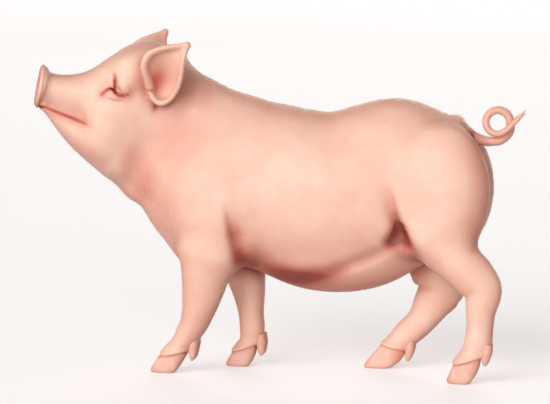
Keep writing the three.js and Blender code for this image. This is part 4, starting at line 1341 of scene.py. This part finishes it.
def painted_crease_shade(points):
    """Extra painted shade in the deep creases at the flank, under the elbow, low on the belly, round the eyes and
    under the ear.
    """
    flat, by_thigh, by_elbow = from_side(points)
    flank = fold(by_thigh, FLANK_APEX, 0.42, 18, 0.3) + fold(by_thigh, THIGH_FRONT[2:], 0.35, 16, 0.4, left=6)
    elbow = fold(by_elbow, DEEP_ELBOW, 0.22, 9, 0.4, left=22)
    belly = fold(flat, BELLY_SHADE, 0.42, 36, 0.6) + fold(flat, BELLY_SHADE[2:], 0.48, 25, 0.6)
    head = to_head(points)
    on_head = 0.25 * spot(head, (256, -86, 8), (7, 30, 12))  # painted shadow under the ear
    eye = to_eye(head)
    here = near_origin(eye, 46, 40, 46)
    side_on = eye[here][:, [0, 2]]
    on_head[here] += 0.3 * bell(to_slit(eye[here])[0], 3.5) + fold(side_on, HOOD_FOLD, 0.3, 3.5, 0.3)
    on_head[here] += 0.35 * spot(side_on, (1, 6), (5, 8))
    return flank + elbow + belly + on_head


def thin_parts(points):
    """1 on ears and tail, where close surfaces aren't folds, and 0 elsewhere."""
    share = np.clip(1 - tail_distance(points) / 6, 0, 1) * (points[:, 0] > 480)
    head = to_head(points)
    for side in SIDES:
        here = ear_box(head, side)
        blade, front, _, back, _, _, _ = ear_parts(head[here], side)
        close = np.minimum(np.minimum(blade, front), back)
        share[here] = np.maximum(share[here], np.clip((14 - close) / 8, 0, 1))
    return share


# Painted shade: hollows and creases darken the skin's colour towards red-brown by this number.
skin_painted_shade = 0.45 * hollowness(skin_points, skin_normals, NEAR)
skin_painted_shade = skin_painted_shade + 0.55 * hollowness(skin_points, skin_normals, FAR_OFF)
on_face = np.clip((210 - to_head(skin_points)[:, 0]) / 40, 0, 1)
skin_painted_shade = smoothed(skin_painted_shade * (1 - 0.75 * thin_parts(skin_points)) * (1 - 0.4 * on_face), skin_faces, 4)
skin_painted_shade = skin_painted_shade + painted_crease_shade(skin_points)
print("mean fold", round(float(skin_painted_shade.mean()), 3))

# %% [markdown]
# ## Skin as a material
# Skin scatters light under its surface, so shadows glow red and edges stay soft. The colour is a pale warm pink
# that turns to rose by its redness and painted shade, and to a deep red-brown of painted shade in folds, broken
# by faint blotches. Pores and fine wrinkles are bump, and the sheen is uneven. Blotches, pores and wrinkles are
# one node group, as the horn uses it too.

# %% Node group for organic mottling
def add_node(tree, kind, **settings):
    """A new node with some of its settings and input values."""
    return set_up(tree.nodes.new(kind), **settings)


def group_sockets(group, inputs, outputs):
    """Declares a node group's named inputs, with their defaults, and its outputs."""
    for name, value in inputs.items():
        socket = group.interface.new_socket(name, in_out="INPUT", socket_type="NodeSocketFloat")
        socket.default_value = value
    for name in outputs:
        group.interface.new_socket(name, in_out="OUTPUT", socket_type="NodeSocketFloat")


PORE_SHARE = 0.35  # of the pores in the relief, beside the wrinkles
mottle = bpy.data.node_groups.new("mottle", "ShaderNodeTree")
group_sockets(mottle, {"Blotch Scale": 14, "Pore Scale": 900, "Wrinkle Scale": 160}, ["Blotch", "Relief", "Fine"])
group_in = add_node(mottle, "NodeGroupInput")
group_out = add_node(mottle, "NodeGroupOutput")
place = add_node(mottle, "ShaderNodeTexCoord")
blotch = add_node(mottle, "ShaderNodeTexNoise", Detail=3.0, Roughness=0.55)
pores = add_node(mottle, "ShaderNodeTexVoronoi", feature="F1", Randomness=1.0)
wrinkles = add_node(mottle, "ShaderNodeTexNoise", Detail=5.0, Roughness=0.65, Distortion=0.6)
relief = add_node(mottle, "ShaderNodeMath", operation="ADD")
pore_share = add_node(mottle, "ShaderNodeMath", operation="MULTIPLY")
pore_share.inputs[1].default_value = PORE_SHARE
for source, target in (
    (place.outputs["Object"], blotch.inputs["Vector"]),
    (place.outputs["Object"], pores.inputs["Vector"]),
    (place.outputs["Object"], wrinkles.inputs["Vector"]),
    (group_in.outputs["Blotch Scale"], blotch.inputs["Scale"]),
    (group_in.outputs["Pore Scale"], pores.inputs["Scale"]),
    (group_in.outputs["Wrinkle Scale"], wrinkles.inputs["Scale"]),
    (pores.outputs["Distance"], pore_share.inputs[0]),
    (pore_share.outputs[0], relief.inputs[0]),
    (wrinkles.outputs["Fac"], relief.inputs[1]),
    (blotch.outputs["Fac"], group_out.inputs["Blotch"]),
    (relief.outputs[0], group_out.inputs["Relief"]),
    (wrinkles.outputs["Fac"], group_out.inputs["Fine"]),
):
    mottle.links.new(source, target)
print("mottle group has", len(mottle.nodes), "nodes")

# %% Tools for colours
def srgb(text):
    """A colour written as six hexadecimal digits, as the linear numbers that shaders take."""
    parts = [int(text[i : i + 2], 16) / 255 for i in (0, 2, 4)]
    return (*[p / 12.92 if p <= 0.04045 else ((p + 0.055) / 1.055) ** 2.4 for p in parts], 1)


def ramp(tree, source, *stops):
    """The colour that a ramp gives for a number. Its stops are (place, colour) or (place, grey from 0 to 1)."""
    made = tree.nodes.new("ShaderNodeValToRGB")
    for place, _ in stops[2:]:
        made.color_ramp.elements.new(place)
    for element, (place, colour) in zip(made.color_ramp.elements, stops):
        element.position = place
        element.color = srgb(colour) if isinstance(colour, str) else (colour, colour, colour, 1)
    tree.links.new(source, made.inputs["Fac"])
    return made.outputs["Color"]


def mixed(tree, share, first, second, mode="MIX"):
    """A colour mix whose share, first and second colours are values or links."""
    made = tree.nodes.new("ShaderNodeMix")
    made.data_type = "RGBA"
    made.blend_type = mode
    for socket, source in ((made.inputs[0], share), (made.inputs[6], first), (made.inputs[7], second)):
        if isinstance(source, (float, tuple)):
            socket.default_value = source
        else:
            tree.links.new(source, socket)
    return made.outputs[2]


def read(tree, name):
    """The number that a mesh keeps for each of its points under a name."""
    return add_node(tree, "ShaderNodeAttribute", attribute_name=name).outputs["Fac"]


def mottled(tree, shader, pale, red, gloss, bump, **scales):
    """Two blotched colours that turn to a red one by redness and painted shade.

    The group's relief is linked to the shader as bump, and its fine pattern as gloss.
    """
    pattern = tree.nodes.new("ShaderNodeGroup")
    pattern.node_tree = mottle
    set_up(pattern, **scales)
    relief = add_node(tree, "ShaderNodeBump", **bump)
    tree.links.new(pattern.outputs["Relief"], relief.inputs["Height"])
    tree.links.new(relief.outputs["Normal"], shader.inputs["Normal"])
    tree.links.new(ramp(tree, pattern.outputs["Fine"], *gloss), shader.inputs["Roughness"])
    return mixed(tree, read(tree, "redness_and_shade"), ramp(tree, pattern.outputs["Blotch"], *pale), srgb(red))


print("full red is", *np.round(srgb("C8604A")[:3], 2), "in the shader's numbers")

# %% Skin material
def skin_material():
    """Pink pig skin: colour by redness and painted shade, painted shade in folds, and blotch, with pores, wrinkles
    and light scattered inside.
    """
    made, tree, shader = new_material(
        "pink skin",
        Subsurface_Weight=0.35,
        Subsurface_Radius=(1.0, 0.35, 0.2),
        Subsurface_Scale=0.009,
        Specular_IOR_Level=0.6,
    )
    pale = (0.32, "E9C0AC"), (0.68, "F0CFBE")
    gloss = (0.3, 0.42), (0.7, 0.56)
    with_redness_and_shade = mottled(tree, shader, pale, "C8604A", gloss, dict(Strength=0.25, Distance=0.0006))
    folds = read(tree, "fold")
    # Painted shade: the fold number darkens the colour to a red-brown in hollows and creases.
    deep = ramp(tree, folds, (0.08, 0), (0.55, 1))
    painted_shade_colour = ramp(tree, folds, (0.3, "AC452D"), (0.7, "80301F"))
    tree.links.new(mixed(tree, deep, with_redness_and_shade, painted_shade_colour), shader.inputs["Base Color"])
    return made


skin_paint = skin_material()


print("skin material of", len(skin_paint.node_tree.nodes), "nodes")

# %% The skin in place
def point_values(made, name, values):
    """Keeps one number for each point of a mesh, for its material to read."""
    attribute = made.data.attributes.new(name, "FLOAT", "POINT")
    attribute.data.foreach_set("value", values.astype(np.float32))


skin = smooth_mesh("skin", to_frame(skin_points), skin_faces, skin_paint)
# Redness, partly painted shade, and painted shade of hollows, kept on the skin's points for its material.
point_values(skin, "redness_and_shade", skin_red_and_shade)
point_values(skin, "fold", skin_painted_shade)
FLESH_NODES = [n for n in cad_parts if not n.startswith(("hoof", "dewclaw", "eye"))]
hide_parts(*FLESH_NODES)
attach(skin, "root")
print("skin replaces", len(FLESH_NODES), "nodes")

# %% [markdown]
# ## The coat
# A young pig looks bare, but pale bristles lie back along its body about a finger's width apart. They are longest
# on the spine and tail, line the ears' rims, and are shortest on the face and feet. Particle hair would be lost on
# export, so each tuft is solid mesh: three tapered, three-sided bristles from one root. Roots are drawn by chance
# on the skin's faces, more often where the coat is thick, and first we say how it grows at any place.

# %% How the coat grows
TUFTS, BRISTLE_RADIUS = 6000, 0.24


def coat_at(points, normals):
    """How thickly tufts grow at points of the skin, from 0 up, their length in millimetres and their lie."""
    head = to_head(points)
    u, v, n = head.T
    on_back = bell(points[:, 1], 26) * (normals[:, 2] > 0.4) * (u > 230) * (points[:, 0] < 520)
    low = np.clip((300 - points[:, 2]) / 100, 0, 1)[:, None]
    on_belly = (np.abs(points[:, 0] - 110) < 190) & (points[:, 2] < 300) & (points[:, 2] > 190)
    lie = (1 - low) * (1, 0, -0.45) + low * (0.3, 0, -1)
    length = np.interp(points[:, 2], [20, 120, 320], [4, 7, 10]) + 8 * on_back
    thick = 0.35 + 3 * on_back + 0.8 * np.clip(np.abs(normals[:, 0]) * 2 - 1, 0, 1)
    thick[on_belly] *= 0.2
    thick *= np.clip(1 - 4 * painted_crease_shade(points), 0, 1)
    off, _ = to_mouth(head)
    on_head = np.flatnonzero((u < 300) & (np.abs(v) < 130) & (np.abs(n) < 230))
    lie[on_head] = HEAD_AXES[:, 0] + (0, 0, -0.25)
    length[on_head] = np.interp(u[on_head], [10, 100, 300], [3, 5.5, 13])
    thick[(u < DISC_BACK + 6) | ((np.abs(off) < 3) & (u < MOUTH_CORNER))] = 0
    eye = to_eye(head)
    here = np.flatnonzero(near_origin(eye, 40, 40, 40))
    thick[here[to_slit(eye[here])[0] < 8]] = 0
    for side in SIDES:
        here = np.flatnonzero(ear_box(head, side))
        blade, front, _, back, hollow, step, _ = ear_parts(head[here], side)
        rim = np.minimum(front, back)
        on_ear = (np.minimum(blade, rim) < 9) & (step > 2)
        lie[here[on_ear]] = HEAD_AXES @ (0.3, 0.1 * side, 1)
        length[here[on_ear]] = 7
        thick[here[on_ear & (rim < 8)]] = 2
        thick[here[(hollow < 4) & (rim > 8)]] = 0
    here = np.flatnonzero((tail_distance(points) < 3) & (points[:, 0] > TAIL_FROM))
    _, place = nearest_on_line(points[here], tail_line)
    lie[here] = at_place(np.gradient(tail_line[:, :3], axis=0), place)
    length[here] = np.interp(place / len(tail_line), [0, 0.7, 1], [9, 9, 17])
    thick[here] = np.interp(place / len(tail_line), [0, 0.7, 1], [1.2, 2, 5])
    for foot in FEET.values():
        here = np.flatnonzero(foot_box(points, foot))
        thick[here[below_coronet(points[here], foot) > -3]] = 0
    return thick, length, lie


_, length, _ = coat_at(np.array([[120.0, 0, 620], [120, 0, 220]]), np.array([[0, 0, 1.0], [0, 0, -1]]))
print("bristles on spine and belly:", *length.round(1), "mm long")

# %% [markdown]
# The export bakes each tuft's colour into a map of its own, so every tuft needs its patch there. Its root's place
# is found by unrolling the skin: trunk, head, ears and legs about their own long axes, and the tail along its
# line. Each of these charts fills its own rectangle of the map.

# %% Unrolling the skin
PATCH = 0.003  # the width of a tuft's patch on the map


def about(points, origin, axis, up):
    """Millimetres along an axis, and the angle about it as a share of a turn."""
    axis = np.array(axis, float) / np.linalg.norm(axis)
    side = np.cross(up, axis)
    side /= np.linalg.norm(side)
    offset = points - origin
    return offset @ axis, np.arctan2(offset @ side, offset @ np.cross(axis, side)) / (2 * math.pi) + 0.5


def unrolled(points):
    """Each point's place on the map of the skin, both numbers between 0 and 1."""
    uv = np.zeros((len(points), 2))

    def chart(here, place, first, last, left, low, wide, high):
        """Lays some points in a rectangle of the map: along it from first to last, and across it by turn."""
        along, turn = place
        share = np.clip((along - first) / (last - first), 0, 1)
        uv[here] = np.column_stack([left + wide * share, low + high * np.clip(turn, 0, 1)])[here]

    chart(slice(None), about(points, (0, 0, 420), ALONG, UP), -560, 560, 0.01, 0.01, 0.59, 0.59)
    head = to_head(points)
    on_head = (head[:, 0] < 250) & (np.abs(head[:, 1]) < 130) & (np.abs(head[:, 2]) < 190)
    chart(on_head, about(head, (0, 0, -10), ALONG, UP), -10, 250, 0.62, 0.01, 0.37, 0.29)
    for column, side in enumerate(SIDES):
        on_ear = ear_box(head, side)
        on_ear[on_ear] = ear_parts(head[on_ear], side)[0] < 12
        place = about(ear_frame(head, side), (262, 92, 0), (0.1, 0.15, 1), ASIDE)
        chart(on_ear, place, 20, 185, 0.62 + 0.19 * column, 0.32, 0.18, 0.28)
    for column, joints in enumerate(LEGS.values()):
        foot, knee = np.array(joints[-1][:3]), np.array(joints[1][:3])
        away, _ = nearest_on_line(points, tube_line(joints, 2))
        on_leg = (away < 62) & (points[:, 2] < 260)
        chart(on_leg, about(points, foot, knee - foot, ASIDE), -20, 260, 0.01 + 0.2 * column, 0.62, 0.18, 0.37)
    away, place = nearest_on_line(points, tail_line)
    turn = np.arctan2(points[:, 1] - at_place(tail_line, place)[:, 1], away) / math.pi + 0.5
    on_tail = (away < 14) & (points[:, 0] > TAIL_FROM)
    chart(on_tail, (place, turn), 0, len(tail_line), 0.82, 0.62, 0.17, 0.37)
    return uv


print("the spine's middle lies at", *unrolled(np.array([[120.0, 0, 600]]))[0].round(2), "on the map")

# %% Bristle material
def bristle_material():
    """Pale straw bristles, pinker at the root, with a soft gloss that varies along them."""
    made, tree, shader = new_material("pale bristle")
    place = add_node(tree, "ShaderNodeTexCoord")
    noise = add_node(tree, "ShaderNodeTexNoise", Scale=45.0, Detail=3.0)
    tree.links.new(place.outputs["Object"], noise.inputs["Vector"])
    straw = ramp(tree, noise.outputs["Fac"], (0.35, "EBCDB8"), (0.65, "F6E2D0"))
    tree.links.new(mixed(tree, read(tree, "along"), srgb("E4B9A4"), straw), shader.inputs["Base Color"])
    tree.links.new(ramp(tree, noise.outputs["Fac"], (0.3, 0.4), (0.7, 0.55)), shader.inputs["Roughness"])
    return made


bristle_paint = bristle_material()
print("bristle material of", len(bristle_paint.node_tree.nodes), "nodes")

# %% Tufts
FAN = np.radians([-7, 1, 8])
FAN_LENGTH = np.array([0.8, 1.0, 0.7])
BRISTLE_FACES = np.array([
    [0, 2, 1],
    *[[0, 1, 3], [1, 4, 3], [1, 2, 4], [2, 5, 4], [2, 0, 5], [0, 3, 5]],
    *[[3, 4, 6], [4, 5, 6], [5, 3, 6]],
])
PATCH_PLACES = np.array([[0, 0], [0.5, 0], [0, 0.5], [0, 0.5], [0.5, 0.5], [0.5, 1], [1, 1]]) - 0.5
POINTS_EACH = len(PATCH_PLACES)


def tufts(roots, normals, lie, length, chance):
    """Points [roots, 3 bristles, 7, 3]: two three-sided rings and a tip, rising from the skin and bending to it."""
    lie = lie / np.linalg.norm(lie, axis=1)[:, None] + chance.normal(0, 0.1, lie.shape)
    lie -= (lie * normals).sum(1)[:, None] * normals
    lie /= np.linalg.norm(lie, axis=1)[:, None]
    across = np.cross(normals, lie)
    fan = FAN + chance.normal(0, 0.05, (len(roots), 3))
    way = np.cos(fan)[..., None] * lie[:, None] + np.sin(fan)[..., None] * across[:, None]
    reach = (length[:, None] * FAN_LENGTH * chance.uniform(0.8, 1.15, (len(roots), 3)))[..., None]
    up = normals[:, None]
    root = roots[:, None] - 1.0 * up + 6 * np.sin(fan)[..., None] * across[:, None]
    middle = root + reach * (0.5 * way + 0.1 * up) + 1.1 * up
    tip = root + reach * (1.0 * way + 0.13 * up) + 1.1 * up
    turn = np.arange(3) * 2 * math.pi / 3
    side = np.cross(up, way)
    ring = np.cos(turn)[:, None] * side[..., None, :] + np.sin(turn)[:, None] * up[..., None, :]
    wide = BRISTLE_RADIUS * (0.6 + 0.4 * np.clip(reach[..., None] / 12, 0, 1)) * ring
    return np.concatenate([root[..., None, :] + wide, middle[..., None, :] + 0.7 * wide, tip[..., None, :]], 2)


print("each bristle has", POINTS_EACH, "points and", len(BRISTLE_FACES), "faces")

# %% The coat in place
chance = np.random.default_rng(11)
corner = skin_points[skin_faces]
area = np.linalg.norm(np.cross(corner[:, 1] - corner[:, 0], corner[:, 2] - corner[:, 0]), axis=1)
thick, _, _ = coat_at(corner.mean(1), skin_normals[skin_faces[:, 0]])
picked = chance.choice(len(skin_faces), TUFTS, p=area * thick / (area * thick).sum())
share = chance.dirichlet((1, 1, 1), TUFTS)[..., None]
roots = (corner[picked] * share).sum(1)
root_normals = (skin_normals[skin_faces[picked]] * share).sum(1)
root_normals /= np.linalg.norm(root_normals, axis=1)[:, None]
_, length, lie = coat_at(roots, root_normals)
bristles = tufts(roots, root_normals, lie, length, chance)
numbers = np.arange(TUFTS * 3)[:, None, None] * POINTS_EACH + BRISTLE_FACES
coat = smooth_mesh("bristles", to_frame(bristles.reshape(-1, 3)), numbers.reshape(-1, 3), bristle_paint)
point_values(coat, "along", np.tile([0.0, 0, 0, 0.6, 0.6, 0.6, 1], TUFTS * 3))
spots = unrolled(roots)[:, None, None] + PATCH * PATCH_PLACES
spots = np.broadcast_to(spots, (TUFTS, 3, POINTS_EACH, 2)).reshape(-1, 2)
coat_map = coat.data.uv_layers.new(name="OFBake")
coat_map.data.foreach_set("uv", spots[numbers.ravel()].astype(np.float32).ravel())
coat.visible_shadow = False
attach(coat, "root")
print(TUFTS, "tufts of", len(numbers) * 10, "triangles, mean length", round(float(length.mean()), 1), "mm")

# %% [markdown]
# ## Hooves
# A claw is a stack of rings from the flat sole up to the coronet, each an oval with a pointed front and a flat
# inner side. The same sizes as the solids give the outline. The finer surface adds a rounded sole edge, faint
# growth rings and a slight flare.

# %% Horn material
def horn_material():
    """Pinkish horn: pale on the wall, redder at the coronet, painted shade at toe, heel and sole edge, with growth
    lines across.
    """
    made, tree, shader = new_material(
        "pink horn", Subsurface_Weight=0.15, Subsurface_Radius=(1.0, 0.4, 0.25), Subsurface_Scale=0.004
    )
    pale = (0.25, "DAAA98"), (0.75, "E5BBAB")
    gloss = (0.3, 0.34), (0.7, 0.5)
    bump = dict(Strength=0.3, Distance=0.0004)
    scales = dict(Blotch_Scale=60, Pore_Scale=1500, Wrinkle_Scale=300)
    tree.links.new(mottled(tree, shader, pale, "CE826A", gloss, bump, **scales), shader.inputs["Base Color"])
    return made


horn_paint = horn_material()
print("horn material of", len(horn_paint.node_tree.nodes), "nodes")

# %% Closed stacks of rings
def capped(rings):
    """Points and quads of a stack of rings [rows, columns, 3] whose first and last rings close to a point."""
    rows, columns, _ = rings.shape
    low = np.repeat(rings[:1].mean(1, keepdims=True), columns, axis=1)
    high = np.repeat(rings[-1:].mean(1, keepdims=True), columns, axis=1)
    stack = np.concatenate([low, rings, high])
    return stack.reshape(-1, 3), grid_faces(rows + 2, columns, wrap=True)


def facing_out(points, faces):
    """Faces turned round if they enclose a negative volume."""
    a, b, c, d = (points[faces[:, k]] for k in range(4))
    volume = (a * np.cross(b, c)).sum() + (a * np.cross(c, d)).sum()
    return faces if volume > 0 else faces[:, ::-1]


def horn_piece(name, rings, redness_and_shade):
    """Makes one horn piece that stands for its solid."""
    points, faces = capped(rings)
    made = smooth_mesh(name + "_horn", to_frame(points), facing_out(points, faces), horn_paint)
    point_values(made, "redness_and_shade", np.concatenate([redness_and_shade[:1], redness_and_shade, redness_and_shade[-1:]]).ravel())
    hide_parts(name)
    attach(made, "root")


print("horn pieces are stacks of rings, closed at both ends")

# %% Claws
CLAW_APART, CLAW_HALF, CLAW_TAPER, BLUNT_TOE = 14.5, 13, 4, 8
RING_DEPTH = 0.012  # of the growth rings, as a share of the width


def claw_surface(foot, side):
    """A claw: outline x, z slide from toe and sole to coronet with height; y is an oval, blunt behind."""
    heights = np.concatenate([[0.0, 0.0, 0.012, 0.04], np.linspace(0.09, 1, 20)])
    inset = np.array([5.0, 2.0, 0.7, 0.15] + [0] * 20)[:, None]
    height = heights[:, None]
    angle = np.linspace(0, 2 * math.pi, 48, endpoint=False)[None]
    blunt = BLUNT_TOE * np.clip(1 - height / 0.3, 0, 1) ** 2
    front_x = foot["toe"] + (foot["front"][0] - foot["toe"]) * height + inset + blunt
    bulb = 2 * foot["heel"] - (foot["sole"] + foot["rear"][0]) / 2
    rear_x = (1 - height) ** 2 * foot["sole"] + 2 * height * (1 - height) * bulb + height**2 * foot["rear"][0]
    rear_x = rear_x - inset
    along = 0.5 - 0.5 * np.cos(angle)
    bow = np.sign(np.sin(angle)) * np.abs(np.sin(angle)) ** 0.75 * (0.72 + 0.28 * along)
    rings_out = 1 + RING_DEPTH * np.sin(height * 34) * (height > 0.1)
    width = (CLAW_HALF - inset * 0.7) * (0.94 + 0.06 * height) * rings_out
    middle = CLAW_APART - CLAW_TAPER * (1 - along) * (1 - 0.5 * height)
    x = front_x + (rear_x - front_x) * along
    y = foot["y"] + side * np.maximum(middle + bow * width, 1.2)
    z = (foot["front"][1] + (foot["rear"][1] - foot["front"][1]) * along) * height
    return np.stack(np.broadcast_arrays(x, y, z), -1)


def dewclaw_surface(foot, side):
    """A blunt bent cone down behind the foot: ring radii swell and then close towards the tip."""
    (root_x, root_z), (tip_x, tip_z) = foot["dewclaw"]
    axis = np.array([tip_x - root_x, 0, tip_z - root_z])
    length = np.linalg.norm(axis)
    axis = axis / length
    fore = np.array([axis[2], 0, -axis[0]])
    along = np.linspace(0, 1, 18)
    radius = np.interp(along, [0, 0.4, 0.75, 0.93, 1], [8.5, 11.5, 9, 5.6, 2])
    radius = radius * (1 + RING_DEPTH * np.sin(along * 40))
    angle = np.linspace(0, 2 * math.pi, 28, endpoint=False)
    centre = np.array([root_x, foot["y"] + side * 15, root_z]) + along[:, None] * length * axis
    ring = np.cos(angle)[None, :, None] * fore + np.sin(angle)[None, :, None] * np.array([0, 0.85, 0])
    return centre[:, None] + radius[:, None, None] * ring


print("a claw has", claw_surface(FEET["fore_left"], 1)[..., 0].size, "points")

# %% Sixteen horn pieces
for foot_name, foot in FEET.items():
    for place_name, outward in (("outer", 1), ("inner", -1)):
        side = outward * math.copysign(1, foot["y"])
        claw = claw_surface(foot, side)
        below = below_coronet(claw.reshape(-1, 3), foot).reshape(claw.shape[:2])
        toe = np.clip(1 - (claw[..., 0] - foot["toe"]) / 22, 0, 1)
        heel = np.clip((claw[..., 0] - foot["sole"]) / 25, 0, 1)
        # Redder at the coronet, the horn's own colour, and painted shade at the toe, the heel and the sole's edge
        # by the floor.
        tint = np.maximum.reduce([0.75 * toe, 0.85 * heel, 0.9 * bell(below, 4), 0.7 * bell(claw[..., 2], 5)])
        horn_piece(f"hoof_{foot_name}_{place_name}", claw, tint)
        spur = dewclaw_surface(foot, side)
        tint = np.broadcast_to(np.linspace(0.4, 0.0, spur.shape[0])[:, None], spur.shape[:2])
        horn_piece(f"dewclaw_{foot_name}_{place_name}", spur, tint)
print("sixteen horn pieces")

# %% [markdown]
# ## Eyeballs
# Only a sliver of each eye shows, but it gives the face its life: a wet dark brown iris with a black pupil. The
# ball is a grid of latitude and longitude round the line of sight, with a slightly raised cornea, and its
# colours follow the angle from that line.

# %% Eye material
def eye_material():
    """Wet eye: pupil, brown iris with a dark edge, and off-white beyond, by angle from the line of sight."""
    made, tree, shader = new_material("wet eye", Roughness=0.08, Coat_Weight=1.0, Coat_Roughness=0.02)
    place = add_node(tree, "ShaderNodeTexCoord")
    speckle = add_node(tree, "ShaderNodeTexNoise", Scale=900.0, Detail=4.0)
    tree.links.new(place.outputs["Object"], speckle.inputs["Vector"])
    fleck = ramp(tree, speckle.outputs["Fac"], (0.3, 0.7), (0.7, 1))
    iris = ramp(
        tree,
        read(tree, "sight_angle"),
        (0.0, "080404"),
        (0.20, "080404"),
        (0.23, "4A2A18"),
        (0.40, "5C3620"),
        (0.46, "1E100A"),
        (0.52, "C9A08C"),
        (1.0, "D8A795"),
    )
    tree.links.new(mixed(tree, 1.0, iris, fleck, "MULTIPLY"), shader.inputs["Base Color"])
    return made


eye_paint = eye_material()
print("eye material of", len(eye_paint.node_tree.nodes), "nodes")

# %% Eyeballs
SIGHT = np.array([-0.25, 0.93, 0.27]) / np.linalg.norm([-0.25, 0.93, 0.27])
LID_GAP = 0.15  # between the ball and the lids
first = np.cross(SIGHT, UP)
first /= np.linalg.norm(first)
second = np.cross(SIGHT, first)
theta = np.linspace(0, math.pi, 33)[1:-1, None, None]  # angle from the line of sight
phi = np.linspace(0, 2 * math.pi, 40, endpoint=False)[None, :, None]
radius = (EYE_RADIUS - LID_GAP) * (1 - 0.03 * (theta > 0.62))  # flatter beyond the cornea
white = np.cos(theta) * SIGHT + np.sin(theta) * (np.cos(phi) * first + np.sin(phi) * second)
for name, side in (("eye_left", -1), ("eye_right", 1)):
    ball = (radius * white @ EYE_AXES.T + EYE_PLACE) * (1, side, 1)
    rings = from_head(ball.reshape(-1, 3)).reshape(ball.shape)
    points, faces = capped(rings)
    made = smooth_mesh(name + "_ball", to_frame(points), facing_out(points, faces), eye_paint)
    angles = np.broadcast_to(theta[..., 0] / math.pi * 2, rings.shape[:2])
    point_values(made, "sight_angle", np.clip(np.concatenate([0 * angles[:1], angles, angles[-1:]]).ravel(), 0, 1))
    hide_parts(name)
    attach(made, "root")
print("two eyes")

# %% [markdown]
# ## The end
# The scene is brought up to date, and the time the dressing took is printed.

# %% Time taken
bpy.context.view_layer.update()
print("dressed in", round(time.time() - BEGAN, 1), "s")
